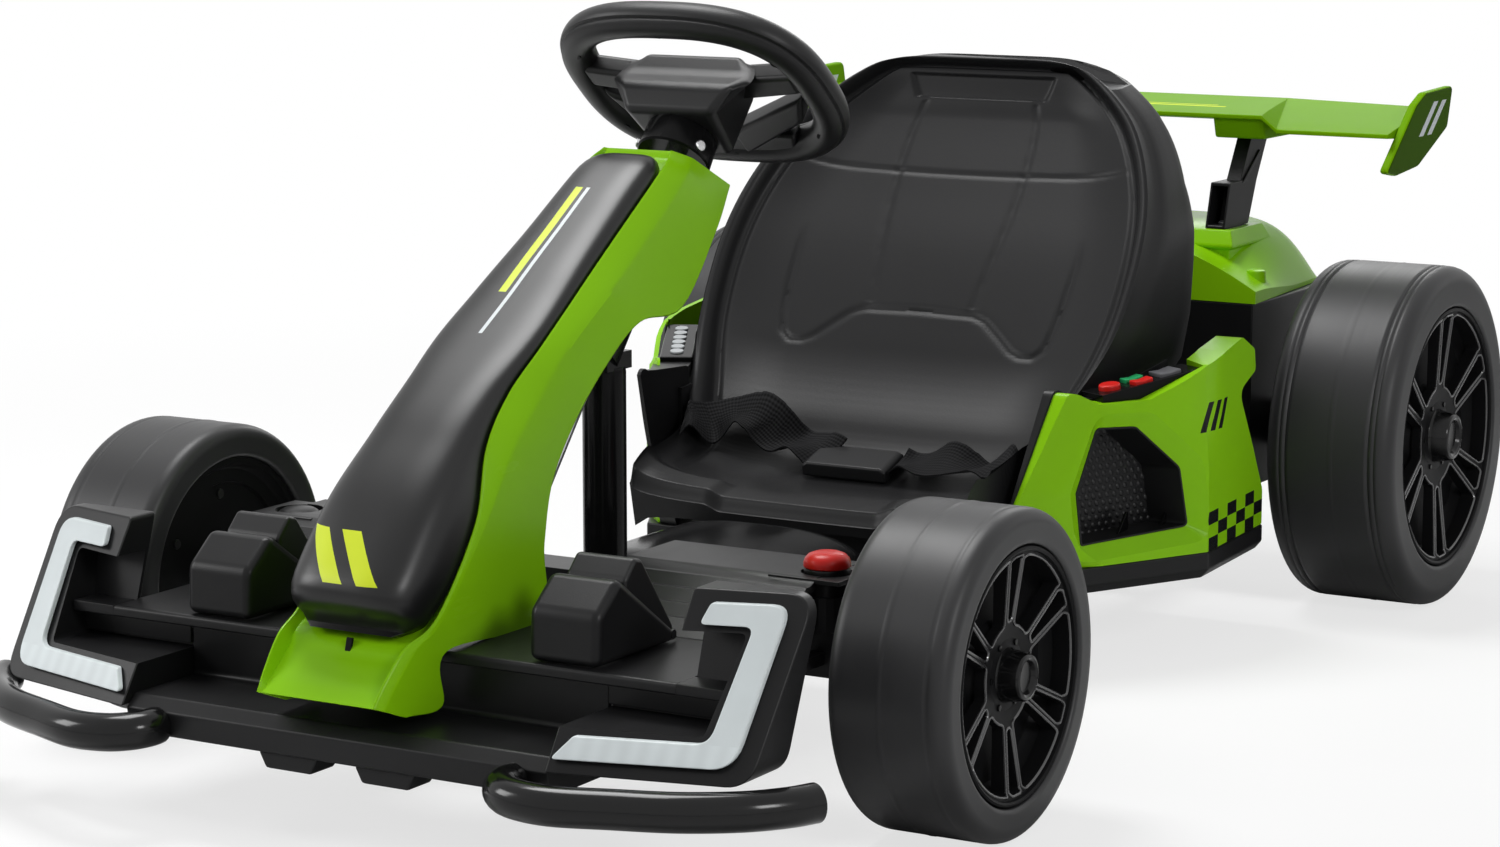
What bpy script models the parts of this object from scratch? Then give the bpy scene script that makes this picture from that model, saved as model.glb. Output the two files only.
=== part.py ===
"""Battery-electric ride-on go kart for a child, as an assembly of separate pieces.

Metres, +Z up, ground at z = 0. The kart points towards -Y and the driver's left is +X.
Left-hand pieces end in _l and right-hand pieces in _r.
"""
import math

import bmesh
import bpy
from mathutils import Matrix, Vector

for leftover in list(bpy.data.objects):
    bpy.data.objects.remove(leftover, do_unlink=True)

# Fits
GAP = 0.0003            # between two pieces that seat on each other
RUNNING = 0.0005        # radial play of a turning piece on its shaft
PANEL_PLAY = 0.0008     # round a rocker in its pocket

# Wheels
WHEELBASE = 0.827
FRONT_AXLE_Y = -0.336
FRONT_TYRE_RADIUS = 0.109
FRONT_TYRE_WIDTH = 0.086
FRONT_SIDEWALL = 0.024
FRONT_HALF_WIDTH = 0.361
REAR_TYRE_RADIUS = 0.142
REAR_TYRE_WIDTH = 0.109
REAR_SIDEWALL = 0.034
REAR_HALF_WIDTH = 0.349
TYRE_SHOULDER = 0.021
RIM_WALL = 0.004
RIM_SET_IN = 0.003
RIM_INNER_SET_IN = 0.004
RIM_CORE_INNER = 0.014  # how far the moulded core stands inside the tyre's inner side
RIM_CORE_OUTER = 0.022  # how far the core stands behind the rim's face
SPOKE_PAIRS = 5
SPOKE_WIDTH = 0.009
SPOKE_SPREAD = 13.0     # degrees between the middle of a pair and one of its spokes
SPOKE_DEPTH = 0.012
SPOKE_BURIED = 0.003
SPOKE_SET_BACK = 0.0012
HUB_RADIUS = 0.021
HUB_NECK_RADIUS = 0.0115
HUB_NOSE = 0.004
HUB_NOSE_SHARE = 0.62
AXLE_SHORT = 0.006       # how far an axle ends inside the wheel's face
AXLE_RADIUS = 0.006
TYRE_SIDES = 36
RIM_SIDES = 30

# Chassis
RAIL_X = 0.100
RAIL_WIDTH = 0.025
RAIL_HEIGHT = 0.025
RAIL_BOTTOM = 0.066
FRAME_FRONT = -0.500
FRAME_REAR = 0.585
CROSS_TUBE_DEPTH = 0.025
CROSS_TUBE_DROP = 0.002
CROSS_TUBE_SET_IN = 0.030
SEAT_MOUNT_FRONT_Y = 0.045
SEAT_MOUNT_REAR_Y = 0.118
SEAT_MOUNT_HALF_LENGTH = 0.070
SEAT_MOUNT_DEPTH = 0.024
TRAY_FRONT_Y = -0.215
TRAY_REAR_Y = -0.020
TRAY_THICKNESS = 0.004
TOWER_HEIGHT = 0.026
TOWER_DEPTH = 0.044
TOWER_THICKNESS = 0.010

# Front axle and steering
KINGPIN_X = 0.217
KINGPIN_RADIUS = 0.0058
KINGPIN_BOSS_RADIUS = 0.0165
BEAM_BOTTOM = 0.125
BEAM_HEIGHT = 0.023
BEAM_DEPTH = 0.036
KNUCKLE_HALF = 0.012
KNUCKLE_BOTTOM = 0.094
STEERING_ARM = 0.0517
ARM_WIDTH = 0.010
ARM_BOTTOM = 0.1030
ARM_THICKNESS = 0.008
TIE_BAR_THICKNESS = 0.005
TIE_BAR_HALF_WIDTH = 0.009
TIE_BAR_FLAT = 0.030
TIE_PIN_RADIUS = 0.004
TIE_SLOT_PLAY = 0.0006
WHEEL_LOCK_DEG = 20.0
COLUMN_TILT_DEG = 50.0
COLUMN_TOP_Y = -0.132
COLUMN_TOP_Z = 0.4625
SHAFT_RADIUS = 0.008
SHAFT_TOP = 0.020
SHAFT_LENGTH = 0.472
CRANK_LENGTH = 0.025
CRANK_ROD_RADIUS = 0.004
CRANK_BALL_RADIUS = 0.0055
FORK_PLAY = 0.0009
FORK_THICKNESS = 0.005
FORK_DEPTH = 0.012
FORK_SET_FORWARD = 0.002
CAP_RADIUS = 0.0165
CAP_HEIGHT = 0.028
CAP_PLAY = 0.0008

# Steering wheel
WHEEL_HALF_WIDTH = 0.095
WHEEL_HALF_HEIGHT = 0.075
WHEEL_SQUARENESS = 2.7
WHEEL_TUBE_RADIUS = 0.0135
NECK_RADIUS = 0.0285
NECK_BOTTOM = 0.068
POD_WIDTH = 0.088
POD_HEIGHT = 0.058
POD_RISE = 0.011
POD_FRONT = 0.040

# Front body
DECK_TOP = 0.129
DECK_SKIN = 0.004
DECK_FRONT_Y = -0.535
DECK_REAR_Y = -0.4245
DECK_NOTCH_HALF = 0.016
DECK_NOTCH_Y = -0.442
DECK_HALF_WIDTH = 0.222
LIP_FRONT_Y = -0.592
LIP_TOP = 0.086
LIP_BOTTOM = 0.061
LIP_HALF_WIDTH = 0.165
RECESS_Y = -0.522
DECK_LEG = 0.020
DECK_LEG_Y = -0.512
TRAY_RIDGE_Z = 0.163
FOOT_TRAY_INNER_X = 0.076
FOOT_TRAY_OUTER_X = 0.222
FOOT_TRAY_WING_X = 0.240
FOOT_TRAY_BACK_Y = -0.298
LAMP_BACK_Y = -0.4875
LAMP_OUTER_X = 0.300
LAMP_TOP = 0.186
LAMP_BOTTOM = 0.078
LAMP_BAND = 0.0125
LENS_THICKNESS = 0.004
LAMP_RECESS_WALL = 0.006
BUMPER_RADIUS = 0.0125
TOE_BOX_CENTRE_X = 0.1365
TOE_BOX_WIDTH = 0.053
TOE_BOX_WALL = 0.003
PEDAL_PLAY = 0.0007
PEDAL_PIN_RADIUS = 0.003
PEDAL_PIVOT_Y = -0.440
PEDAL_PIVOT_RISE = 0.0057
COWL_WALL = 0.004
POST_WIDTH = 0.026
POST_DEPTH = 0.032
POST_Y = -0.268
BEARING_HALF = 0.016
BEARING_LENGTH = 0.044

# Seat, pods and rear
SEAT_THICKNESS = 0.018
SEAT_SIDE_DEPTH = 0.044
BELT_WIDTH = 0.038
BELT_THICKNESS = 0.002
SILL_BOTTOM = 0.062
SILL_TOP = 0.083
SILL_INNER_X = 0.118
SILL_PROUD = 0.001
POCKET_WALL = 0.003
PANEL_LENGTH = 0.098
PANEL_WIDTH = 0.027
PANEL_THICKNESS = 0.012
PANEL_PITCH_DEG = 8.0
PANEL_CENTRE = (0.2105, 0.176, 0.2215)
BUTTON_RADIUS = 0.0085
BUTTON_PROUD = 0.004
BUTTON_DEPTH = 0.005
BUTTON_TRAVEL = 0.0025
ROCKER_PROUD = 0.003
ROCKER_DEPTH = 0.004
POCKET_DEPTH = 0.0085
REAR_BODY_HALF = 0.196
REAR_BODY_FRONT = 0.428
REAR_BODY_REAR = 0.598
REAR_BODY_BOTTOM = 0.094
REAR_BODY_TOP = 0.250
REAR_BODY_WALL = 0.004
COVER_HEIGHT = 0.047
COVER_CORNER = 0.020
NOSE_RADIUS = 0.020
NOSE_LENGTH = 0.020
GEARBOX_WIDTH = 0.0417
MOTOR_RADIUS = 0.021
MOTOR_BACK = 0.050
MOTOR_RISE = 0.034
STRUT_INSET = 0.051
STRUT_THICKNESS = 0.018
STRUT_BASE_Y = 0.490
STRUT_CHORD = 0.044
STRUT_TOP_Y = 0.541
STRUT_TOP_CHORD = 0.036
STRUT_TOP_Z = 0.381
STRUT_FOOT_HEIGHT = 0.008
WING_FOOT_LENGTH = 0.032
WING_FOOT_HEIGHT = 0.012
WING_OVERLAP = 0.003     # how far the blade runs into an end plate
WING_HALF_SPAN = 0.292
ENDPLATE_THICKNESS = 0.008
BATTERY_HALF = 0.060
BATTERY_LENGTH = 0.120
BATTERY_HEIGHT = 0.034
BATTERY_COVER_TOP = 0.127
BATTERY_COVER_WALL = 0.003

# Values worked out from the sizes above
REAR_AXLE_Y = FRONT_AXLE_Y + WHEELBASE
FRONT_RIM_RADIUS = FRONT_TYRE_RADIUS - FRONT_SIDEWALL
REAR_RIM_RADIUS = REAR_TYRE_RADIUS - REAR_SIDEWALL
RAIL_TOP = RAIL_BOTTOM + RAIL_HEIGHT
STRUT_X = REAR_BODY_HALF - STRUT_INSET
BEAM_TOP = BEAM_BOTTOM + BEAM_HEIGHT
TIE_BAR_BOTTOM = ARM_BOTTOM + ARM_THICKNESS + GAP
TIE_BAR_TOP = TIE_BAR_BOTTOM + TIE_BAR_THICKNESS
TIE_PIN_Y = FRONT_AXLE_Y - STEERING_ARM
COLUMN_TILT = math.radians(COLUMN_TILT_DEG)
COLUMN_UP = Vector((0.0, math.cos(COLUMN_TILT), math.sin(COLUMN_TILT)))
WHEEL_UP = Vector((0.0, -math.sin(COLUMN_TILT), math.cos(COLUMN_TILT)))
COLUMN_TOP = Vector((0.0, COLUMN_TOP_Y, COLUMN_TOP_Z))
SHAFT_END = COLUMN_TOP - COLUMN_UP * (SHAFT_TOP + SHAFT_LENGTH)
CRANK_BALL = SHAFT_END + COLUMN_UP * CRANK_ROD_RADIUS + WHEEL_UP * CRANK_LENGTH
PEDAL_PIVOT_Z = DECK_TOP + PEDAL_PIVOT_RISE


def material(name, colour, roughness, metallic=0.0):
    """A plain Principled finish."""
    made = bpy.data.materials.new(name)
    made.use_nodes = True
    shader = made.node_tree.nodes["Principled BSDF"]
    shader.inputs["Base Color"].default_value = (*colour, 1.0)
    shader.inputs["Roughness"].default_value = roughness
    shader.inputs["Metallic"].default_value = metallic
    return made


LIME = material("lime_plastic", (0.26, 0.58, 0.004), 0.30)
BLACK = material("satin_black_plastic", (0.018, 0.018, 0.019), 0.45)
GLOSS = material("gloss_black_plastic", (0.010, 0.010, 0.011), 0.20)
TYRE = material("tyre_foam", (0.022, 0.022, 0.024), 0.65)
SEAT = material("seat_plastic", (0.024, 0.024, 0.025), 0.42)
STEEL = material("black_steel", (0.014, 0.014, 0.015), 0.35, 0.6)
ROD = material("zinc_steel", (0.55, 0.55, 0.56), 0.30, 1.0)
LENS = material("white_lens", (0.86, 0.90, 0.91), 0.25)
RED = material("red_plastic", (0.62, 0.012, 0.008), 0.35)
GREEN = material("green_plastic", (0.02, 0.38, 0.12), 0.35)
GREY = material("grey_plastic", (0.16, 0.16, 0.17), 0.40)
WEBBING = material("belt_webbing", (0.016, 0.016, 0.017), 0.85)
CELL = material("battery_case", (0.05, 0.05, 0.055), 0.50)


def publish(name, shape, finish, pivot=(0.0, 0.0, 0.0)):
    """Make one named object from a bmesh in world coordinates, with its origin on the pivot."""
    bmesh.ops.remove_doubles(shape, verts=shape.verts, dist=1e-6)
    bmesh.ops.recalc_face_normals(shape, faces=shape.faces)
    bmesh.ops.translate(shape, verts=shape.verts, vec=-Vector(pivot))
    mesh = bpy.data.meshes.new(name)
    shape.to_mesh(mesh)
    shape.free()
    mesh.materials.append(finish)
    mesh.shade_smooth()
    mesh.set_sharp_from_angle(angle=math.radians(30.0))
    made = bpy.data.objects.new(name, mesh)
    made.location = pivot
    bpy.context.collection.objects.link(made)
    return made


def loft(rings, closed=False):
    """Skin a row of point rings of equal length; the two ends are capped unless the row closes."""
    shape = bmesh.new()
    rows = [[shape.verts.new(point) for point in ring] for ring in rings]
    count = len(rows[0])
    spans = len(rows) if closed else len(rows) - 1
    for row in range(spans):
        here = rows[row]
        there = rows[(row + 1) % len(rows)]
        for k in range(count):
            nxt = (k + 1) % count
            shape.faces.new((here[k], here[nxt], there[nxt], there[k]))
    if not closed:
        shape.faces.new(rows[0])
        shape.faces.new(rows[-1])
    bmesh.ops.recalc_face_normals(shape, faces=shape.faces)
    return shape


def prism(outline, along, start, end):
    """Extrude a flat outline along x, y or z; the outline's two numbers are the other axes in order."""
    def place(a, b, c):
        return {"x": (c, a, b), "y": (a, c, b), "z": (a, b, c)}[along]
    return loft([[place(a, b, level) for a, b in outline] for level in (start, end)])


def box(low, high):
    """A box from its two corners."""
    outline = [(low[0], low[1]), (high[0], low[1]), (high[0], high[1]), (low[0], high[1])]
    return prism(outline, "z", low[2], high[2])


def circle(radius, sides):
    """Points round a circle, with a flat at the bottom."""
    turn = 2.0 * math.pi / sides
    angles = [(k + 0.5) * turn for k in range(sides)]
    return [(radius * math.sin(angle), -radius * math.cos(angle)) for angle in angles]


def bore_radius(radius, sides):
    """Corner radius of a many-sided hole that clears a round of the given radius."""
    return radius / math.cos(math.pi / sides)


def cylinder(start, end, radius, sides):
    """A round bar between two points."""
    start = Vector(start)
    end = Vector(end)
    turn = (end - start).to_track_quat("Z", "Y").to_matrix()
    ring = [turn @ Vector((a, b, 0.0)) for a, b in circle(radius, sides)]
    return loft([[start + point for point in ring], [end + point for point in ring]])


def lathe(profile, sides, centre):
    """Turn a closed profile of (x, radius) pairs about an axle along x."""
    rings = []
    for k in range(sides):
        angle = (k + 0.5) * 2.0 * math.pi / sides
        across = math.sin(angle)
        down = -math.cos(angle)
        rings.append([(x, centre[0] + r * across, centre[1] + r * down) for x, r in profile])
    return loft(rings, closed=True)


def sweep(path, radius, sides, closed=False):
    """A round tube along a row of points."""
    points = [Vector(point) for point in path]
    count = len(points)
    rings = []
    up = Vector((0.0, 0.0, 1.0))
    for k, point in enumerate(points):
        before = points[k - 1] if closed or k > 0 else point
        after = points[(k + 1) % count] if closed or k < count - 1 else point
        ahead = (after - before).normalized()
        side = ahead.cross(up).normalized()
        rise = side.cross(ahead)
        rings.append([point + side * a + rise * b for a, b in circle(radius, sides)])
    return loft(rings, closed)


def stand_in(shape):
    """A temporary object for a Boolean."""
    mesh = bpy.data.meshes.new("temporary")
    bmesh.ops.recalc_face_normals(shape, faces=shape.faces)
    shape.to_mesh(mesh)
    shape.free()
    made = bpy.data.objects.new("temporary", mesh)
    bpy.context.collection.objects.link(made)
    return made


def combine(base, tools, operation):
    """Join the tools to the base, or cut them from it, and give back one shape."""
    body = stand_in(base)
    helpers = [stand_in(tool) for tool in tools]
    for helper in helpers:
        step = body.modifiers.new("step", "BOOLEAN")
        step.operation = operation
        step.solver = "EXACT"
        step.object = helper
    graph = bpy.context.evaluated_depsgraph_get()
    result = bmesh.new()
    result.from_mesh(body.evaluated_get(graph).to_mesh())
    for used in [body] + helpers:
        bpy.data.objects.remove(used, do_unlink=True)
    return result


def join(base, *tools):
    return combine(base, tools, "UNION")


def cut(base, *tools):
    return combine(base, tools, "DIFFERENCE")


def mirrored(points, side):
    """Points of the left-hand piece, moved to the asked side."""
    return [(side * point[0], *point[1:]) for point in points]


def between(table, at):
    """Straight-line reading of a table of (place, value) pairs."""
    if at <= table[0][0]:
        return table[0][1]
    for (low, first), (high, second) in zip(table, table[1:]):
        if at <= high:
            return first + (second - first) * (at - low) / (high - low)
    return table[-1][1]


SIDES = ((1, "l"), (-1, "r"))


# Wheels


def tyre_profile(inner_x, outer_x, radius, bead_radius):
    """Closed section of a tyre: square bead, round shoulders and flat tread."""
    tread = bore_radius(radius, TYRE_SIDES)
    steps = 3
    near = []
    far = []
    for k in range(steps + 1):
        angle = 0.5 * math.pi * k / steps
        across = TYRE_SHOULDER * (1.0 - math.cos(angle))
        level = tread - TYRE_SHOULDER * (1.0 - math.sin(angle))
        near.append((inner_x + across, level))
        far.append((outer_x - across, level))
    return [(inner_x, bead_radius)] + near + far[::-1] + [(outer_x, bead_radius)]


def wheel(place, side, tag, centre, radius, rim_radius, half_width, width, hub_inner_x):
    """Tyre and spoked rim of one wheel."""
    inner_x = half_width - width
    pivot = (0.0, *centre)
    bead = bore_radius(rim_radius + GAP, TYRE_SIDES)
    section = tyre_profile(inner_x, half_width, radius, bead)
    tyre = lathe(mirrored(section, side), TYRE_SIDES, centre)
    publish(f"{place}_tyre_{tag}", tyre, TYRE, pivot)

    face = half_width - RIM_SET_IN
    core_in = inner_x + RIM_CORE_INNER
    core_out = face - RIM_CORE_OUTER
    edge = inner_x + RIM_INNER_SET_IN
    barrel = rim_radius - RIM_WALL
    bore = bore_radius(AXLE_RADIUS + RUNNING, RIM_SIDES)
    nose = half_width + HUB_NOSE
    section = [
        (edge, rim_radius), (edge, barrel), (core_in, barrel),
        (core_in, HUB_NECK_RADIUS), (hub_inner_x, HUB_NECK_RADIUS), (hub_inner_x, bore), (nose, bore),
        (nose, HUB_RADIUS * HUB_NOSE_SHARE), (face, HUB_RADIUS), (core_out, HUB_RADIUS),
        (core_out, barrel), (face, barrel), (face, rim_radius),
    ]
    rim = lathe(mirrored(section, side), RIM_SIDES, centre)
    spokes = []
    for pair in range(SPOKE_PAIRS):
        for lean in (-1, 1):
            angle = math.radians(360.0 * pair / SPOKE_PAIRS + lean * SPOKE_SPREAD)
            foot = math.radians(360.0 * pair / SPOKE_PAIRS + lean * SPOKE_SPREAD * 0.6)
            spokes.append(spoke(side, centre, angle, foot, rim_radius, face))
    publish(f"{place}_rim_{tag}", join(rim, *spokes), GLOSS, pivot)


def spoke(side, centre, angle, foot, rim_radius, face):
    """One spoke from the hub to the barrel, buried a little in both."""
    start = Vector((math.sin(foot), math.cos(foot))) * (HUB_RADIUS - SPOKE_BURIED)
    end = Vector((math.sin(angle), math.cos(angle))) * (rim_radius - RIM_WALL * 0.5)
    across = Vector((-(end - start).y, (end - start).x)).normalized() * SPOKE_WIDTH * 0.5
    outline = [start - across, end - across, end + across, start + across]
    front = side * (face - SPOKE_SET_BACK)
    back = side * (face - SPOKE_DEPTH)
    return loft([[(x, centre[0] + p.x, centre[1] + p.y) for p in outline] for x in (front, back)])


FRONT_CENTRE = (FRONT_AXLE_Y, FRONT_TYRE_RADIUS)
REAR_CENTRE = (REAR_AXLE_Y, REAR_TYRE_RADIUS)
KNUCKLE_OUTER_X = KINGPIN_X + KNUCKLE_HALF
DRIVE_OUTER_X = REAR_BODY_HALF + NOSE_LENGTH

for sign, tag in SIDES:
    wheel("front", sign, tag, FRONT_CENTRE, FRONT_TYRE_RADIUS, FRONT_RIM_RADIUS, FRONT_HALF_WIDTH,
          FRONT_TYRE_WIDTH, KNUCKLE_OUTER_X + RUNNING)
    wheel("rear", sign, tag, REAR_CENTRE, REAR_TYRE_RADIUS, REAR_RIM_RADIUS, REAR_HALF_WIDTH,
          REAR_TYRE_WIDTH, DRIVE_OUTER_X + RUNNING)


# Seat shape, which the frame's seat mounts follow

# Place along the seat from front edge to top: y, z, half width, how far the edges stand forward
SEAT_LINE = [
    (0.000, 0.128, 0.148, 0.004),
    (0.030, 0.134, 0.146, 0.026),
    (0.075, 0.136, 0.147, 0.046),
    (0.115, 0.150, 0.151, 0.056),
    (0.148, 0.188, 0.158, 0.058),
    (0.184, 0.245, 0.192, 0.040),
    (0.223, 0.305, 0.202, 0.030),
    (0.258, 0.355, 0.184, 0.020),
    (0.290, 0.402, 0.146, 0.010),
    (0.311, 0.436, 0.103, 0.005),
    (0.320, 0.453, 0.078, 0.003),
]
SEAT_COLUMNS = 12


def seat_direction(row):
    """Unit vector along the seat's middle line at one row."""
    before = SEAT_LINE[max(row - 1, 0)]
    after = SEAT_LINE[min(row + 1, len(SEAT_LINE) - 1)]
    return Vector((0.0, after[0] - before[0], after[1] - before[1])).normalized()


def seat_point(row, across, lift=0.0):
    """A point of the seat's face; across runs from -1 to 1, and lift stands off the face."""
    y, z, half_width, forward = SEAT_LINE[row]
    along = seat_direction(row)
    out = Vector((0.0, -along.z, along.y))
    middle = Vector((half_width * math.sin(0.5 * math.pi * across), y, z))
    lean = 1.0 if across > 0 else -1.0
    slope = 3.0 * abs(across) ** 2 * forward / half_width
    normal = (out - Vector((lean * min(slope, 1.6), 0.0, 0.0))).normalized()
    return middle + out * forward * abs(across) ** 3 + normal * lift


def seat_back_point(row, across):
    """A point of the seat's outer face, which lies further behind the face towards the sides."""
    y, z, half_width, forward = SEAT_LINE[row]
    along = seat_direction(row)
    out = Vector((0.0, -along.z, along.y))
    middle = Vector((half_width * math.sin(0.5 * math.pi * across), y, z))
    depth = SEAT_THICKNESS + SEAT_SIDE_DEPTH * across ** 4
    return middle + out * (forward * abs(across) ** 3 - depth)


def seat_underside(y):
    """Lowest height of the seat's outer face over a seat mount, at one y."""
    heights = []
    for column in range(SEAT_COLUMNS // 6 + 1):
        across = 2.0 * column / SEAT_COLUMNS
        rows = [seat_back_point(row, across) for row in range(len(SEAT_LINE))]
        heights.append(between([(point.y, point.z) for point in rows], y))
    return min(heights)


def seat_shell():
    rings = []
    for row in range(len(SEAT_LINE)):
        spread = [-1.0 + 2.0 * k / SEAT_COLUMNS for k in range(SEAT_COLUMNS + 1)]
        face = [seat_point(row, across) for across in spread]
        back = [seat_back_point(row, across) for across in reversed(spread)]
        rings.append(face + back)
    return loft(rings)


publish("seat_shell", seat_shell(), SEAT)

BELT_FRONT_ROW = 2.09
BELT_BACK_ROW = 2.98
BELT_LIFT = 0.0009
BELT_OUTER_COLUMN = 5
BELT_INNER_COLUMN = 1


def seat_at(place, across, lift):
    """A point standing off the seat's face at a place between two rows."""
    row = int(place)
    return seat_point(row, across, lift).lerp(seat_point(row + 1, across, lift), place - row)


def belt(side):
    """Half of the lap belt, laid across the seat from its edge to the buckle."""
    rings = []
    for column in range(BELT_OUTER_COLUMN, BELT_INNER_COLUMN - 1, -1):
        across = side * 2.0 * column / SEAT_COLUMNS
        rings.append([seat_at(BELT_FRONT_ROW, across, BELT_LIFT),
                      seat_at(BELT_BACK_ROW, across, BELT_LIFT),
                      seat_at(BELT_BACK_ROW, across, BELT_LIFT + BELT_THICKNESS),
                      seat_at(BELT_FRONT_ROW, across, BELT_LIFT + BELT_THICKNESS)])
    return loft(rings)


for sign, tag in SIDES:
    publish(f"lap_belt_{tag}", belt(sign), WEBBING)


def buckle():
    """Closed plastic buckle lying on the middle of the seat."""
    half = seat_at(2.0, 2.0 * BELT_INNER_COLUMN / SEAT_COLUMNS, 0.0).x - GAP
    rings = []
    for rise, share in ((BELT_LIFT, 1.0), (0.010, 1.0), (0.013, 0.86)):
        front = seat_at(BELT_FRONT_ROW, 0.0, rise)
        back = seat_at(BELT_BACK_ROW, 0.0, rise)
        side = Vector((half * share, 0.0, 0.0))
        rings.append([front - side, front + side, back + side, back - side])
    return loft(rings)


publish("belt_buckle", buckle(), BLACK)


# Chassis


def on_rear_axle(start_x, end_x, radius, sides):
    """A round bar on the rear axle's line."""
    start = (start_x, REAR_AXLE_Y, REAR_TYRE_RADIUS)
    return cylinder(start, (end_x, REAR_AXLE_Y, REAR_TYRE_RADIUS), radius, sides)


def main_frame():
    half = RAIL_WIDTH * 0.5
    rails = []
    for x in (RAIL_X, -RAIL_X):
        rails.append(box((x - half, FRAME_FRONT, RAIL_BOTTOM), (x + half, FRAME_REAR, RAIL_TOP)))
    crosses = []
    low = RAIL_BOTTOM + CROSS_TUBE_DROP
    high = RAIL_TOP - CROSS_TUBE_DROP
    middle = CROSS_TUBE_DEPTH * 0.5
    first = FRAME_FRONT + CROSS_TUBE_DEPTH
    last = FRAME_REAR - CROSS_TUBE_SET_IN
    for y in (first, FRONT_AXLE_Y, POST_Y, REAR_BODY_FRONT - CROSS_TUBE_SET_IN, last):
        crosses.append(box((-RAIL_X, y - middle, low), (RAIL_X, y + middle, high)))
    crosses.append(box((-RAIL_X, TRAY_FRONT_Y, low), (RAIL_X, TRAY_REAR_Y, low + TRAY_THICKNESS)))
    for y in (SEAT_MOUNT_FRONT_Y, SEAT_MOUNT_REAR_Y):
        reach = SEAT_MOUNT_DEPTH * 0.5
        under = min(seat_underside(y - reach), seat_underside(y), seat_underside(y + reach)) - GAP
        crosses.append(box((-RAIL_X, y - reach, low), (RAIL_X, y + reach, high)))
        crosses.append(box((-SEAT_MOUNT_HALF_LENGTH, y - reach + 0.003, high - 0.003),
                           (SEAT_MOUNT_HALF_LENGTH, y + reach - 0.003, under)))
    towers = []
    hole = bore_radius(AXLE_RADIUS + GAP, 16)
    for sign in (1, -1):
        thick = TOWER_THICKNESS * 0.5
        deep = TOWER_DEPTH * 0.5
        towers.append(box((sign * RAIL_X - thick, REAR_AXLE_Y - deep, high - 0.003),
                          (sign * RAIL_X + thick, REAR_AXLE_Y + deep, REAR_TYRE_RADIUS + TOWER_HEIGHT)))
    welded = join(rails[0], rails[1], *crosses, *towers)
    reach = RAIL_X + TOWER_THICKNESS
    return cut(welded, on_rear_axle(-reach, reach, hole, 16))


publish("main_frame", main_frame(), STEEL)

AXLE_END_X = REAR_HALF_WIDTH - AXLE_SHORT
publish("rear_axle", on_rear_axle(-AXLE_END_X, AXLE_END_X, AXLE_RADIUS, 16), ROD)


def upright(x, y, bottom, top, radius, sides):
    """A standing round bar."""
    return cylinder((x, y, bottom), (x, y, top), radius, sides)


def front_axle_beam():
    deep = BEAM_DEPTH * 0.5
    beam = box((-KINGPIN_X, FRONT_AXLE_Y - deep, BEAM_BOTTOM + 0.001),
               (KINGPIN_X, FRONT_AXLE_Y + deep, BEAM_TOP - 0.001))
    parts = []
    drills = []
    for sign in (1, -1):
        x = sign * KINGPIN_X
        parts.append(upright(x, FRONT_AXLE_Y, BEAM_BOTTOM, BEAM_TOP, KINGPIN_BOSS_RADIUS, 20))
        foot = sign * RAIL_X
        parts.append(box((foot - 0.012, FRONT_AXLE_Y - 0.014, RAIL_TOP + GAP),
                         (foot + 0.012, FRONT_AXLE_Y + 0.014, BEAM_BOTTOM + 0.004)))
        bore = bore_radius(KINGPIN_RADIUS + RUNNING, 16)
        drills.append(upright(x, FRONT_AXLE_Y, BEAM_BOTTOM - 0.01, BEAM_TOP + 0.01, bore, 16))
    return cut(join(beam, *parts), *drills)


publish("front_axle_beam", front_axle_beam(), STEEL)


def knuckle(side):
    x = side * KINGPIN_X
    half = KNUCKLE_HALF
    block = box((x - half, FRONT_AXLE_Y - half, KNUCKLE_BOTTOM),
                (x + half, FRONT_AXLE_Y + half, BEAM_BOTTOM - GAP))
    end = side * (FRONT_HALF_WIDTH - AXLE_SHORT)
    stub = cylinder((x + side * (half - 0.004), FRONT_AXLE_Y, FRONT_TYRE_RADIUS),
                    (end, FRONT_AXLE_Y, FRONT_TYRE_RADIUS), AXLE_RADIUS, 16)
    pin = upright(x, FRONT_AXLE_Y, BEAM_BOTTOM - 0.008, BEAM_TOP, KINGPIN_RADIUS, 16)
    arm_half = ARM_WIDTH * 0.5
    arm = box((x - arm_half, TIE_PIN_Y - 0.008, ARM_BOTTOM),
              (x + arm_half, FRONT_AXLE_Y - half + 0.004, ARM_BOTTOM + ARM_THICKNESS))
    stud = upright(x, TIE_PIN_Y, ARM_BOTTOM + 0.003, TIE_BAR_TOP + 0.001, TIE_PIN_RADIUS, 12)
    return join(block, stub, pin, arm, stud)


def kingpin_cap(side):
    """Ribbed red cap on top of the kingpin."""
    x = side * KINGPIN_X
    base = BEAM_TOP + GAP
    levels = ((0.0, 0.92), (0.003, 1.0), (CAP_HEIGHT - 0.004, 1.0), (CAP_HEIGHT, 0.82))
    return loft([[(x + a, FRONT_AXLE_Y + b, base + rise) for a, b in circle(CAP_RADIUS * share, 20)]
                 for rise, share in levels])


for sign, tag in SIDES:
    kingpin = (sign * KINGPIN_X, FRONT_AXLE_Y, FRONT_TYRE_RADIUS)
    publish(f"steering_knuckle_{tag}", knuckle(sign), STEEL, kingpin)
    publish(f"kingpin_cap_{tag}", kingpin_cap(sign), RED, kingpin)


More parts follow.
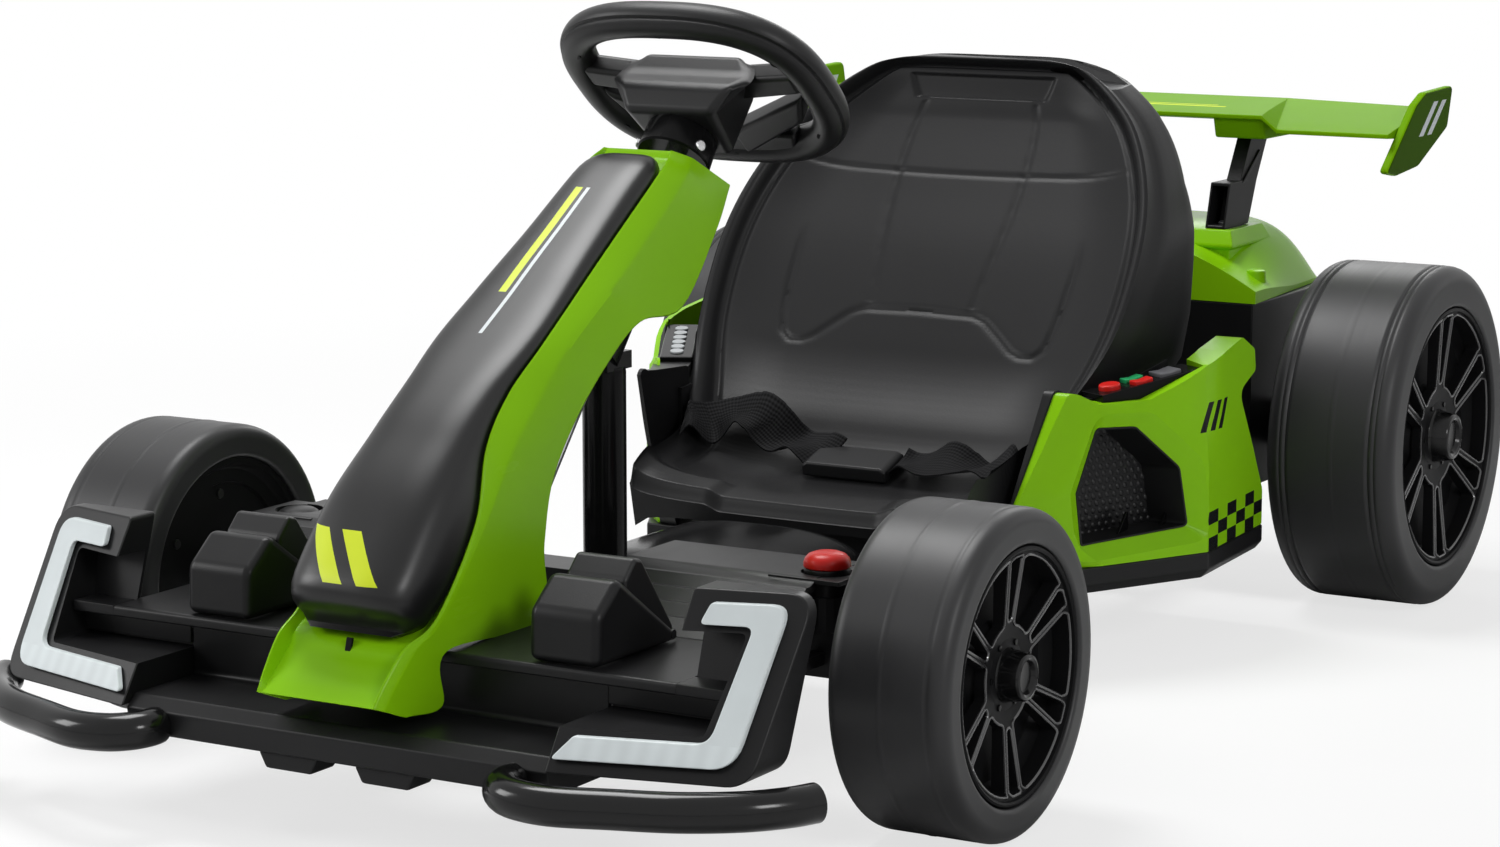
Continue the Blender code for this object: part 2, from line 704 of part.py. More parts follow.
def tie_bar():
    """Flat cranked bar between the steering arms; a fork under its middle takes the column's crank."""
    middle_y = CRANK_BALL.y
    half = TIE_BAR_HALF_WIDTH
    end = KINGPIN_X + 0.010
    flat = TIE_BAR_FLAT
    line = [(-end, TIE_PIN_Y), (-flat, middle_y), (flat, middle_y), (end, TIE_PIN_Y)]
    front = [(x, y - half) for x, y in line]
    back = [(x, y + half) for x, y in reversed(line)]
    bar = prism(front + back, "z", TIE_BAR_BOTTOM, TIE_BAR_TOP)
    lugs = []
    slots = []
    near = CRANK_BALL_RADIUS + FORK_PLAY
    swing = STEERING_ARM * (1.0 - math.cos(math.radians(WHEEL_LOCK_DEG)))
    for sign in (1, -1):
        inner, outer = sorted((sign * near, sign * (near + FORK_THICKNESS)))
        fork_y = middle_y - FORK_SET_FORWARD
        lugs.append(box((inner, fork_y - FORK_DEPTH * 0.5, CRANK_BALL.z - 0.008),
                        (outer, fork_y + FORK_DEPTH * 0.5, TIE_BAR_BOTTOM + 0.002)))
        wide = TIE_PIN_RADIUS + TIE_SLOT_PLAY
        slots.append(box((sign * KINGPIN_X - wide, TIE_PIN_Y - wide, TIE_BAR_BOTTOM - 0.01),
                         (sign * KINGPIN_X + wide, TIE_PIN_Y + wide + swing, TIE_BAR_TOP + 0.01)))
    return cut(join(bar, *lugs), *slots)


publish("tie_bar", tie_bar(), STEEL, (0.0, CRANK_BALL.y, TIE_BAR_BOTTOM))


# Steering column and wheel


def steering_shaft():
    top = COLUMN_TOP - COLUMN_UP * SHAFT_TOP
    rod = cylinder(SHAFT_END, top, SHAFT_RADIUS, 14)
    root = SHAFT_END + COLUMN_UP * CRANK_ROD_RADIUS
    arm = cylinder(root, CRANK_BALL, CRANK_ROD_RADIUS * 0.98, 10)
    ball = bmesh.new()
    bmesh.ops.create_uvsphere(ball, u_segments=12, v_segments=8, radius=CRANK_BALL_RADIUS)
    bmesh.ops.translate(ball, verts=ball.verts, vec=CRANK_BALL)
    return join(rod, arm, ball)


def column_frame():
    """Matrix that takes wheel-plane coordinates (x, up the wheel, towards the driver) to the kart."""
    turn = Matrix((Vector((1.0, 0.0, 0.0)), WHEEL_UP, COLUMN_UP)).transposed()
    return Matrix.Translation(COLUMN_TOP) @ turn.to_4x4()


def on_column(shape):
    bmesh.ops.transform(shape, verts=shape.verts, matrix=column_frame())
    return shape


def squared_oval(half_width, half_height, power, count):
    points = []
    for k in range(count):
        angle = 2.0 * math.pi * k / count
        c = math.cos(angle)
        s = math.sin(angle)
        points.append((half_width * math.copysign(abs(c) ** (2.0 / power), c),
                       half_height * math.copysign(abs(s) ** (2.0 / power), s)))
    return points


SPOKE_FRONT = -0.010
SPOKE_BACK = 0.006


def steering_wheel():
    """Rim, two side spokes, a broad lower spoke and the hub plate."""
    rim = loft([rim_ring(k) for k in range(40)], closed=True)
    reach = WHEEL_HALF_WIDTH
    root = POD_WIDTH * 0.5 - 0.014
    side_spoke = [(-reach, -0.002), (-reach, 0.020), (-root, 0.014), (root, 0.014),
                  (reach, 0.020), (reach, -0.002), (root, -0.022), (-root, -0.022)]
    low = -WHEEL_HALF_HEIGHT
    lower = [(-0.024, -0.010), (-0.030, low), (0.030, low), (0.024, -0.010)]
    arms = prism(side_spoke, "z", SPOKE_FRONT, SPOKE_BACK)
    foot = prism(lower, "z", SPOKE_FRONT + 0.001, SPOKE_BACK - 0.001)
    return on_column(join(rim, arms, foot))


def rim_ring(k, count=40):
    path = squared_oval(WHEEL_HALF_WIDTH, WHEEL_HALF_HEIGHT, WHEEL_SQUARENESS, count)
    before = Vector(path[k - 1])
    after = Vector(path[(k + 1) % count])
    out = Vector(((after - before).y, -(after - before).x)).normalized()
    here = Vector(path[k])
    return [(here.x + out.x * a, here.y + out.y * a, b) for a, b in circle(WHEEL_TUBE_RADIUS, 10)]


def steering_hub():
    """Pod on the back of the wheel and the neck that goes down to the column."""
    top = SPOKE_FRONT - GAP
    half = POD_WIDTH * 0.5
    tall = POD_HEIGHT * 0.5
    rings = []
    for depth, wide, high in ((top, 0.86, 0.90), (-0.020, 1.0, 1.0), (-POD_FRONT + 0.004, 0.92, 0.86),
                              (-POD_FRONT, 0.80, 0.74)):
        outline = squared_oval(half * wide, tall * high, 3.2, 20)
        rings.append([(x, y + POD_RISE, depth) for x, y in outline])
    pod = loft(rings)
    neck = prism(circle(NECK_RADIUS, 24), "z", -NECK_BOTTOM, -POD_FRONT + 0.008)
    hole = bore_radius(SHAFT_RADIUS + GAP, 14)
    bore = prism(circle(hole, 14), "z", -NECK_BOTTOM - 0.01, -SHAFT_TOP + GAP)
    return on_column(cut(join(pod, neck), bore))


publish("steering_shaft", steering_shaft(), ROD, COLUMN_TOP)
publish("steering_wheel", steering_wheel(), BLACK, COLUMN_TOP)
publish("steering_hub", steering_hub(), BLACK, COLUMN_TOP)


def column_at(y):
    """Point of the column's axis at one y."""
    return COLUMN_TOP - COLUMN_UP * ((COLUMN_TOP.y - y) / COLUMN_UP.y)


def steering_post():
    """Upright tube on the frame with a bearing head that the shaft turns in."""
    half = POST_WIDTH * 0.5
    deep = POST_DEPTH * 0.5
    axis = column_at(POST_Y)
    floor = RAIL_TOP - CROSS_TUBE_DROP + GAP
    post = box((-half, POST_Y - deep, floor), (half, POST_Y + deep, axis.z - BEARING_HALF))
    section = squared_oval(BEARING_HALF, BEARING_HALF, 4.0, 16)
    rings = []
    for along in (-BEARING_LENGTH * 0.5, BEARING_LENGTH * 0.5):
        middle = axis + COLUMN_UP * along
        rings.append([middle + Vector((a, 0.0, 0.0)) + WHEEL_UP * b for a, b in section])
    head = loft(rings)
    past = COLUMN_UP * BEARING_LENGTH * 2.0
    bore = cylinder(axis - past, axis + past, bore_radius(SHAFT_RADIUS + RUNNING, 14), 14)
    return cut(join(post, head), bore)


publish("steering_post", steering_post(), STEEL)


# Nose

# Rows down the column: upper edge y, z; lower edge y, z; half width; how high the cover is crowned
COWL_ROWS = [
    (-0.222, 0.422, -0.156, 0.392, 0.042, 0.000),
    (-0.243, 0.410, -0.186, 0.362, 0.044, 0.002),
    (-0.314, 0.364, -0.240, 0.315, 0.049, 0.004),
    (-0.360, 0.334, -0.300, 0.312, 0.052, 0.008),
    (-0.401, 0.306, -0.345, 0.288, 0.054, 0.012),
    (-0.437, 0.278, -0.385, 0.255, 0.056, 0.017),
    (-0.472, 0.249, -0.413, 0.220, 0.058, 0.021),
    (-0.517, 0.211, -0.425, 0.180, 0.061, 0.026),
    (-0.566, 0.158, -0.432, 0.1295, 0.064, 0.022),
    (-0.583, 0.140, -0.5355, 0.1295, 0.066, 0.000),
    (-0.599, 0.122, -0.5375, 0.094, 0.067, 0.000),
    (-0.606, 0.104, -0.575, 0.094, 0.066, 0.000),
]
COVER_FIRST = 1
COVER_LAST = 8
COVER_SHARE = 0.76
COWL_SHOULDER = 0.32
COWL_CROWN = 0.16
COVER_SKIN = 0.002


def nose_cowl():
    """Open-backed channel that carries the cover and boxes in the column."""
    rings = []
    for upper_y, upper_z, lower_y, lower_z, half, _ in COWL_ROWS:
        upper = Vector((0.0, upper_y, upper_z))
        lower = Vector((0.0, lower_y, lower_z))
        fall = lower - upper
        top = half * COVER_SHARE + 0.001
        wall = COWL_WALL
        outside = [(half, 1.0), (half, COWL_SHOULDER), (top, 0.0)]
        inside = [(top - wall * 0.6, COWL_CROWN), (half - wall, COWL_SHOULDER + 0.04), (half - wall, 1.0)]
        outline = outside + [(-x, share) for x, share in reversed(outside)]
        outline += [(-x, share) for x, share in reversed(inside)] + inside
        rings.append([Vector((x, 0.0, 0.0)) + upper + fall * share for x, share in outline])
    return loft(rings)


def nose_cover():
    """Crowned panel seated on the top of the cowl."""
    rings = []
    for upper_y, upper_z, lower_y, lower_z, half, crown in COWL_ROWS[COVER_FIRST:COVER_LAST + 1]:
        upper = Vector((0.0, upper_y, upper_z))
        rise = (upper - Vector((0.0, lower_y, lower_z))).normalized()
        rise = (rise + Vector((0.0, -0.35, 0.45))).normalized()
        wide = half * COVER_SHARE
        seat = upper + rise * (GAP * 2.0)
        ring = [Vector((-wide, 0.0, 0.0)) + seat]
        for k in range(1, 8):
            angle = math.pi * k / 8.0
            height = (COVER_SKIN + crown) * math.sin(angle) ** 0.7
            ring.append(seat + Vector((-wide * math.cos(angle), 0.0, 0.0)) + rise * height)
        ring.append(Vector((wide, 0.0, 0.0)) + seat)
        rings.append(ring)
    return loft(rings)


publish("nose_cowl", nose_cowl(), LIME)
publish("nose_cover", nose_cover(), BLACK)


def front_deck():
    """Shelf for the feet with a set-back wall and a projecting lip below it."""
    shelf = box((-DECK_HALF_WIDTH, DECK_FRONT_Y, DECK_TOP - DECK_SKIN),
                (DECK_HALF_WIDTH, DECK_REAR_Y, DECK_TOP))
    wall_back = RECESS_Y + DECK_SKIN
    profile = [(RECESS_Y, DECK_TOP - 0.002), (RECESS_Y, LIP_TOP), (LIP_FRONT_Y + 0.006, LIP_TOP),
               (LIP_FRONT_Y, LIP_TOP - 0.010), (LIP_FRONT_Y + 0.004, LIP_BOTTOM), (wall_back, LIP_BOTTOM),
               (wall_back, DECK_TOP - 0.002)]
    front = prism(profile, "x", -LIP_HALF_WIDTH, LIP_HALF_WIDTH)
    legs = []
    for sign in (1, -1):
        foot = sign * RAIL_X
        half = DECK_LEG * 0.5
        legs.append(box((foot - half, DECK_LEG_Y - half, RAIL_TOP + GAP),
                        (foot + half, FRAME_FRONT + half, DECK_TOP - 0.002)))
    notch = box((-DECK_NOTCH_HALF, DECK_NOTCH_Y, DECK_TOP - 0.02),
                (DECK_NOTCH_HALF, DECK_REAR_Y + 0.02, DECK_TOP + 0.02))
    return cut(join(shelf, front, *legs), notch)


publish("front_deck", front_deck(), BLACK)


def foot_tray(side):
    """Ribbed heel slope that covers the axle beam on one side of the cowl."""
    front = DECK_REAR_Y + GAP
    skin = DECK_SKIN
    ridge_front = FRONT_AXLE_Y - BEAM_DEPTH * 0.5 - 0.004
    ribs = 4
    top = [(FOOT_TRAY_BACK_Y, TRAY_RIDGE_Z), (ridge_front, TRAY_RIDGE_Z)]
    for k in range(ribs):
        share = (k + 1) / (ribs + 1)
        y = ridge_front + (front - ridge_front) * share
        z = TRAY_RIDGE_Z + (DECK_TOP - TRAY_RIDGE_Z) * share
        top += [(y + 0.004, z + 0.0025), (y - 0.001, z + 0.0025)]
    top.append((front, DECK_TOP))
    under = [(front, DECK_TOP - skin), (ridge_front + 0.004, TRAY_RIDGE_Z - skin),
             (FOOT_TRAY_BACK_Y - skin, TRAY_RIDGE_Z - skin), (FOOT_TRAY_BACK_Y - skin, BEAM_BOTTOM),
             (FOOT_TRAY_BACK_Y, BEAM_BOTTOM)]
    inner, outer = sorted((side * FOOT_TRAY_INNER_X, side * FOOT_TRAY_OUTER_X))
    slope = prism(top + under, "x", inner, outer)
    wing_in, wing_out = sorted((side * (KINGPIN_X - 0.03), side * FOOT_TRAY_WING_X))
    wing = box((wing_in, FRONT_AXLE_Y - 0.026, TRAY_RIDGE_Z - skin + 0.0005),
               (wing_out, FRONT_AXLE_Y + 0.026, TRAY_RIDGE_Z - 0.0005))
    seat_low, seat_high = sorted((side * (FOOT_TRAY_INNER_X + 0.006), side * (KINGPIN_X - 0.035)))
    rest = box((seat_low, FRONT_AXLE_Y - 0.006, BEAM_TOP - 0.001 + GAP),
               (seat_high, FRONT_AXLE_Y + 0.006, TRAY_RIDGE_Z - 0.002))
    clear = bore_radius(CAP_RADIUS + CAP_PLAY, 20)
    hole = upright(side * KINGPIN_X, FRONT_AXLE_Y, BEAM_TOP, TRAY_RIDGE_Z + 0.02, clear, 20)
    return cut(join(slope, wing, rest), hole)


for sign, tag in SIDES:
    publish(f"foot_tray_{tag}", foot_tray(sign), BLACK)


# Front lamps and bumper

# Middle line of the light bar: x, z on the lamp's slanted face, from its inner foot round to its top tip
LAMP_LINE = [
    (LIP_HALF_WIDTH + 0.004, LAMP_BOTTOM + 0.0155),
    (LAMP_OUTER_X - 0.0195, LAMP_BOTTOM + 0.0167),
    (LAMP_OUTER_X - 0.013, LAMP_TOP - 0.0105),
    (DECK_HALF_WIDTH + 0.015, LAMP_TOP - 0.0125),
]
LAMP_FOOT_Y = LIP_FRONT_Y + 0.002
LAMP_SWEEP = 0.233
LAMP_RAKE = 0.654


def lamp_face(x, z):
    """y of the lamp's slanted face."""
    first = LAMP_LINE[0]
    return LAMP_FOOT_Y + LAMP_SWEEP * (x - first[0]) + LAMP_RAKE * (z - first[1])


def band(line, width):
    """Outline of a mitred band along a line."""
    points = [Vector(point) for point in line]
    left = []
    right = []
    for k, point in enumerate(points):
        before = (point - points[k - 1]).normalized() if k else (points[1] - point).normalized()
        after = (points[k + 1] - point).normalized() if k < len(points) - 1 else before
        normal = Vector((-(before + after).y, (before + after).x)).normalized()
        reach = width * 0.5 / max(normal.dot(Vector((-before.y, before.x))), 0.3)
        left.append(point + normal * reach)
        right.append(point - normal * reach)
    return left + right[::-1]


def headlight_lens(side):
    outline = band(LAMP_LINE, LAMP_BAND)
    rings = []
    for depth in (0.0, LENS_THICKNESS):
        rings.append([(side * p.x, lamp_face(p.x, p.y) + depth, p.y) for p in outline])
    return loft(rings)


def headlight_housing(side):
    """Corner block behind the light bar, hollowed from the front inside the bar."""
    inner = LIP_HALF_WIDTH + GAP
    step = DECK_HALF_WIDTH + GAP
    shelf = DECK_TOP - DECK_SKIN - GAP
    outer = LAMP_OUTER_X
    outline = [(inner, LAMP_BOTTOM), (outer - 0.014, LAMP_BOTTOM), (outer - 0.006, LAMP_BOTTOM + 0.008),
               (outer, LAMP_TOP - 0.006), (outer - 0.006, LAMP_TOP), (step, LAMP_TOP), (step, shelf),
               (inner, shelf)]
    front = LENS_THICKNESS + GAP
    block = loft([[(side * x, lamp_face(x, z) + front, z) for x, z in outline],
                  [(side * x, LAMP_BACK_Y, z) for x, z in outline]])
    floor = LAMP_BOTTOM + 0.026
    roof = LAMP_TOP - 0.023
    recess = [(inner - 0.02, floor), (outer - 0.036, floor), (outer - 0.028, roof), (step - 0.02, roof)]
    rings = []
    for y in (LIP_FRONT_Y - 0.1, LAMP_BACK_Y - LAMP_RECESS_WALL):
        rings.append([(side * x, y, z) for x, z in recess])
    hollow = loft(rings)
    return cut(block, hollow)


# Bumper tube from its foot on the front of the lip, round the corner: x, y, z
BUMPER_LINE = [
    (0.127, LIP_FRONT_Y - GAP, 0.0665),
    (0.127, LIP_FRONT_Y - 0.009, 0.0665),
    (0.134, LIP_FRONT_Y - 0.0215, 0.0658),
    (0.150, LIP_FRONT_Y - 0.0289, 0.0645),
    (0.180, LIP_FRONT_Y - 0.0289, 0.0635),
    (0.220, LIP_FRONT_Y - 0.017, 0.0635),
    (0.260, LIP_FRONT_Y - 0.003, 0.0635),
    (0.294, LIP_FRONT_Y + 0.019, 0.0635),
    (0.316, LIP_FRONT_Y + 0.044, 0.0635),
    (0.328, LIP_FRONT_Y + 0.068, 0.0635),
]

for sign, tag in SIDES:
    publish(f"headlight_lens_{tag}", headlight_lens(sign), LENS)
    publish(f"headlight_housing_{tag}", headlight_housing(sign), BLACK)
    publish(f"bumper_tube_{tag}", sweep(mirrored(BUMPER_LINE, sign), BUMPER_RADIUS, 12), GLOSS)


# Toe boxes and pedals


# Side views: y from the pedal's pivot, height above the deck
TOE_BOX_SIDE = [(-0.091, GAP), (-0.090, 0.0335), (-0.064, 0.054), (0.014, GAP)]
TOE_BOX_HOLLOW = [(-0.087, -0.02), (-0.087, 0.032), (-0.0635, 0.0505), (0.02, 0.111), (0.14, -0.02)]
PEDAL_SIDE = [(-0.055, 0.023), (-0.052, 0.050), (-0.040, 0.062), (-0.032, 0.060)]
PEDAL_FOOT = 0.0045


def beside_pivot(points):
    """A side view moved to the pedal's place."""
    return [(PEDAL_PIVOT_Y + y, DECK_TOP + z) for y, z in points]


def pedal_pin(side, reach, radius):
    """Cross pin of a pedal."""
    ends = [(side * (TOE_BOX_CENTRE_X + step), PEDAL_PIVOT_Y, PEDAL_PIVOT_Z) for step in (-reach, reach)]
    return cylinder(*ends, radius, 12)


def toe_box(side):
    """Hollow box, open behind, that the pedal swings into."""
    half = TOE_BOX_WIDTH * 0.5
    low = TOE_BOX_CENTRE_X - half
    high = TOE_BOX_CENTRE_X + half
    shell = prism(beside_pivot(TOE_BOX_SIDE), "x", *sorted((side * low, side * high)))
    wall = TOE_BOX_WALL
    inside = beside_pivot(TOE_BOX_HOLLOW)
    hollow = prism(inside, "x", *sorted((side * (low + wall), side * (high - wall))))
    drill = pedal_pin(side, half + 0.01, bore_radius(PEDAL_PIN_RADIUS + GAP, 12))
    return cut(shell, hollow, drill)


def pedal(side):
    """Wedge pedal on a cross pin, with its foot face towards the driver."""
    half = TOE_BOX_WIDTH * 0.5 - TOE_BOX_WALL - PEDAL_PLAY
    low = TOE_BOX_CENTRE_X - half
    high = TOE_BOX_CENTRE_X + half
    heel = PEDAL_PIVOT_Z - PEDAL_FOOT
    profile = [(PEDAL_PIVOT_Y - PEDAL_PIN_RADIUS, heel)] + beside_pivot(PEDAL_SIDE)
    profile += [(PEDAL_PIVOT_Y + PEDAL_PIN_RADIUS * 2.0, PEDAL_PIVOT_Z + 0.004),
                (PEDAL_PIVOT_Y + PEDAL_PIN_RADIUS, heel)]
    wedge = prism(profile, "x", *sorted((side * low, side * high)))
    return join(wedge, pedal_pin(side, TOE_BOX_WIDTH * 0.5, PEDAL_PIN_RADIUS))


PEDAL_NAMES = {"l": "brake_pedal", "r": "accelerator_pedal"}
for sign, tag in SIDES:
    publish(f"toe_box_{tag}", toe_box(sign), BLACK)
    publish(PEDAL_NAMES[tag], pedal(sign), BLACK, (sign * TOE_BOX_CENTRE_X, PEDAL_PIVOT_Y, PEDAL_PIVOT_Z))


# Side pods

# Plan of the pod's outer and inner faces: y, x
POD_OUTER = [(0.055, 0.170), (0.211, 0.253), (0.345, 0.2380)]
POD_INNER = [(0.055, 0.157), (0.120, 0.1675), (0.160, 0.186), (0.211, 0.2120), (0.345, 0.2105)]
POD_BREAKS = sorted({y for y, _ in POD_OUTER + POD_INNER})
# Side view of the pod and of its window: y, z
POD_SIDE = [
    (0.096, SILL_TOP + GAP), (0.056, 0.135), (0.100, 0.221), (0.116, 0.209), (0.158, 0.208),
    (0.214, 0.236), (0.232, 0.250), (0.290, 0.243), (0.318, 0.224), (0.298, 0.208),
    (0.325, 0.150), (0.341, 0.112), (0.341, SILL_TOP + GAP),
]
POD_WINDOW = [
    (0.109, 0.099), (0.104, 0.141), (0.122, 0.190), (0.156, 0.188), (0.195, 0.152), (0.203, 0.104),
]


def pod_space(shape, side):
    """Bend a straight slab (x from 0 to 1) to the pod's plan."""
    for y in POD_BREAKS:
        geometry = shape.verts[:] + shape.edges[:] + shape.faces[:]
        bmesh.ops.bisect_plane(shape, geom=geometry, dist=1e-7, plane_co=(0.0, y, 0.0),
                               plane_no=(0.0, 1.0, 0.0))
    for vert in shape.verts:
        inner = between(POD_INNER, vert.co.y)
        outer = between(POD_OUTER, vert.co.y)
        vert.co.x = side * (inner + (outer - inner) * vert.co.x)
    return shape


def panel_frame(side):
    """Matrix of the control panel: x across, y along the pod's face, z out of the panel."""
    run = math.atan2(POD_OUTER[1][1] - POD_OUTER[0][1], POD_OUTER[1][0] - POD_OUTER[0][0])
    turn = Matrix.Rotation(-side * run, 4, "Z") @ Matrix.Rotation(math.radians(PANEL_PITCH_DEG), 4, "X")
    return Matrix.Translation((side * PANEL_CENTRE[0], PANEL_CENTRE[1], PANEL_CENTRE[2])) @ turn


def on_panel(shape, side):
    bmesh.ops.transform(shape, verts=shape.verts, matrix=panel_frame(side))
    return shape


def panel_block(grow):
    """The panel's own block, larger by grow; its top face is at z = 0."""
    wide = PANEL_WIDTH * 0.5 + grow
    long = PANEL_LENGTH * 0.5 + grow
    return box((-wide, -long, -PANEL_THICKNESS - grow), (wide, long, 0.0))


def side_pod(side):
    slab = prism(POD_SIDE, "x", 0.0, 1.0)
    window = prism(POD_WINDOW, "x", -0.5, 1.5)
    body = pod_space(cut(slab, window), side)
    wide = PANEL_WIDTH * 0.5 + GAP
    long = PANEL_LENGTH * 0.5 + GAP
    seat = on_panel(box((-wide, -long, -PANEL_THICKNESS - GAP), (wide, long, 0.08)), side)
    return cut(body, seat)


# What is let into the left panel: place across and along it, half width, half length
ROCKERS = {
    "forward_rocker": (-0.0062, -0.006, 0.0045, 0.0085, GREEN),
    "reverse_rocker": (0.0062, -0.006, 0.0045, 0.0085, RED),
    "speed_rocker": (0.0, 0.022, 0.0085, 0.0100, GREY),
}
BUTTON_ALONG = -0.032


def control_panel(side):
    plate = panel_block(0.0)
    if side < 0:
        return on_panel(plate, side)
    pockets = [cylinder((0.0, BUTTON_ALONG, -POCKET_DEPTH), (0.0, BUTTON_ALONG, 0.01),
                        bore_radius(BUTTON_RADIUS + RUNNING, 18), 18)]
    for across, along, wide, long, _ in ROCKERS.values():
        wide += RUNNING
        long += PANEL_PLAY
        pockets.append(box((across - wide, along - long, -POCKET_DEPTH),
                           (across + wide, along + long, 0.01)))
    return on_panel(cut(plate, *pockets), side)


def start_button():
    rings = []
    for level, share in ((-BUTTON_DEPTH, 1.0), (BUTTON_PROUD - 0.001, 1.0), (BUTTON_PROUD, 0.9)):
        rings.append([(a, BUTTON_ALONG + b, level) for a, b in circle(BUTTON_RADIUS * share, 18)])
    return on_panel(loft(rings), 1)


def rocker(across, along, wide, long):
    """Rocker with a shallow V top, pivoted across its middle at the panel's face."""
    deep = ROCKER_DEPTH
    profile = [(along - long, -0.001), (along - long, ROCKER_PROUD), (along, ROCKER_PROUD * 0.65),
               (along + long, ROCKER_PROUD), (along + long, -0.001), (along + long * 0.6, -deep),
               (along - long * 0.6, -deep)]
    return on_panel(prism(profile, "x", across - wide, across + wide), 1)


for sign, tag in SIDES:
    publish(f"side_pod_{tag}", side_pod(sign), LIME)
    publish(f"control_panel_{tag}", control_panel(sign), BLACK)

publish("start_button", start_button(), RED, panel_frame(1) @ Vector((0.0, BUTTON_ALONG, 0.0)))
for name, (across, along, wide, long, finish) in ROCKERS.items():
    pivot = panel_frame(1) @ Vector((across, along, 0.0))
    publish(name, rocker(across, along, wide, long), finish, pivot)


def side_sill(side):
    """Black ledge under the pod, with the back wall of the pod's pocket standing on it."""
    front = POD_SIDE[0][0] - 0.004
    rear = POD_SIDE[-1][0]
    corner_y, corner_x = POD_OUTER[1]
    plan = [(SILL_INNER_X, front), (between(POD_OUTER, front) + SILL_PROUD, front),
            (corner_x + SILL_PROUD, corner_y), (between(POD_OUTER, rear) + SILL_PROUD, rear),
            (SILL_INNER_X, rear)]
    ledge = prism(mirrored(plan, side), "z", SILL_BOTTOM, SILL_TOP)
    wall = []
    for y in (0.098, 0.120, 0.160, 0.207):
        wall.append((between(POD_INNER, y) - GAP, y))
    wall += [(x - POCKET_WALL, y) for x, y in reversed(wall)]
    back = prism(mirrored(wall, side), "z", SILL_TOP - 0.002, 0.196)
    rail_side = RAIL_X + RAIL_WIDTH * 0.5
    ears = box((rail_side + GAP, front + 0.01, SILL_BOTTOM + 0.006),
               (SILL_INNER_X + 0.004, rear - 0.01, SILL_TOP - 0.004))
    if side < 0:
        bmesh.ops.scale(ears, verts=ears.verts, vec=(-1.0, 1.0, 1.0))
    return join(ledge, back, ears)


for sign, tag in SIDES:
    publish(f"side_sill_{tag}", side_sill(sign), BLACK)


# Battery


def battery_cover():
    """Round-topped cover, open below, between the post and the seat."""
    inner = RAIL_X - RAIL_WIDTH * 0.5
    low = RAIL_BOTTOM + CROSS_TUBE_DROP + TRAY_THICKNESS + GAP
    shells = []
    for shrink, extra in ((GAP, 0.0), (GAP + BATTERY_COVER_WALL, 0.02)):
        rings = []
        for y, drop in ((TRAY_FRONT_Y + shrink + 0.004, 0.016), (TRAY_FRONT_Y + shrink + 0.024, 0.0),
                        (TRAY_REAR_Y - shrink - 0.030, 0.0), (TRAY_REAR_Y - shrink - 0.004, 0.022)):
            half = inner - shrink
            top = BATTERY_COVER_TOP - drop - (shrink - GAP)
            ring = [(-half, y, low - extra), (-half, y, top - 0.026)]
            for k in range(1, 6):
                angle = math.pi * k / 6.0
                ring.append((-half * math.cos(angle), y, top - 0.026 + 0.026 * math.sin(angle)))
            ring += [(half, y, top - 0.026), (half, y, low - extra)]
            rings.append(ring)
        shells.append(loft(rings))
    return cut(*shells)


publish("battery_cover", battery_cover(), BLACK)
BATTERY_FLOOR = RAIL_BOTTOM + CROSS_TUBE_DROP + TRAY_THICKNESS + GAP
BATTERY_MIDDLE_Y = 0.5 * (TRAY_FRONT_Y + TRAY_REAR_Y)
BATTERY_END = BATTERY_LENGTH * 0.5
CASE = box((-BATTERY_HALF, BATTERY_MIDDLE_Y - BATTERY_END, BATTERY_FLOOR),
           (BATTERY_HALF, BATTERY_MIDDLE_Y + BATTERY_END, BATTERY_FLOOR + BATTERY_HEIGHT))
publish("battery", CASE, CELL)


# Rear body, drive and wing


def rear_body():
    """Box over the drive, open below, with holes for the axle and the gearbox noses."""
    shell = box((-REAR_BODY_HALF, REAR_BODY_FRONT, REAR_BODY_BOTTOM),
                (REAR_BODY_HALF, REAR_BODY_REAR, REAR_BODY_TOP))
    wall = REAR_BODY_WALL
    inside = box((-REAR_BODY_HALF + wall, REAR_BODY_FRONT + wall, REAR_BODY_BOTTOM - 0.05),
                 (REAR_BODY_HALF - wall, REAR_BODY_REAR - wall, REAR_BODY_TOP - wall))
    past = REAR_BODY_HALF * 1.5
    return cut(shell, inside, on_rear_axle(-past, past, bore_radius(NOSE_RADIUS + GAP, 20), 20))


publish("rear_body", rear_body(), BLACK)


# Side view of the gearbox: y and z from the axle
GEARBOX_SIDE = [
    (-0.045, -0.038), (0.050, -0.038), (0.078, 0.008), (0.078, 0.058), (0.020, 0.064), (-0.045, 0.034),
]


def drive_unit(side):
    """Motor and gearbox of one rear wheel, threaded on the axle."""
    outer = REAR_BODY_HALF - REAR_BODY_WALL - GAP
    inner = outer - GEARBOX_WIDTH
    outline = [(REAR_AXLE_Y + y, REAR_TYRE_RADIUS + z) for y, z in GEARBOX_SIDE]
    case = prism(outline, "x", *sorted((side * inner, side * outer)))
    motor_y = REAR_AXLE_Y + MOTOR_BACK
    motor_z = REAR_TYRE_RADIUS + MOTOR_RISE
    motor = cylinder((side * (RAIL_X + TOWER_THICKNESS + 0.006), motor_y, motor_z),
                     (side * (inner + 0.004), motor_y, motor_z), MOTOR_RADIUS, 18)
    nose = on_rear_axle(side * (outer - 0.004), side * DRIVE_OUTER_X, NOSE_RADIUS, 20)
    hole = bore_radius(AXLE_RADIUS + GAP, 16)
    bore = on_rear_axle(side * RAIL_X * 0.5, side * DRIVE_OUTER_X * 1.4, hole, 16)
    return cut(join(case, motor, nose), bore)


for sign, tag in SIDES:
    publish(f"drive_unit_{tag}", drive_unit(sign), GREY)

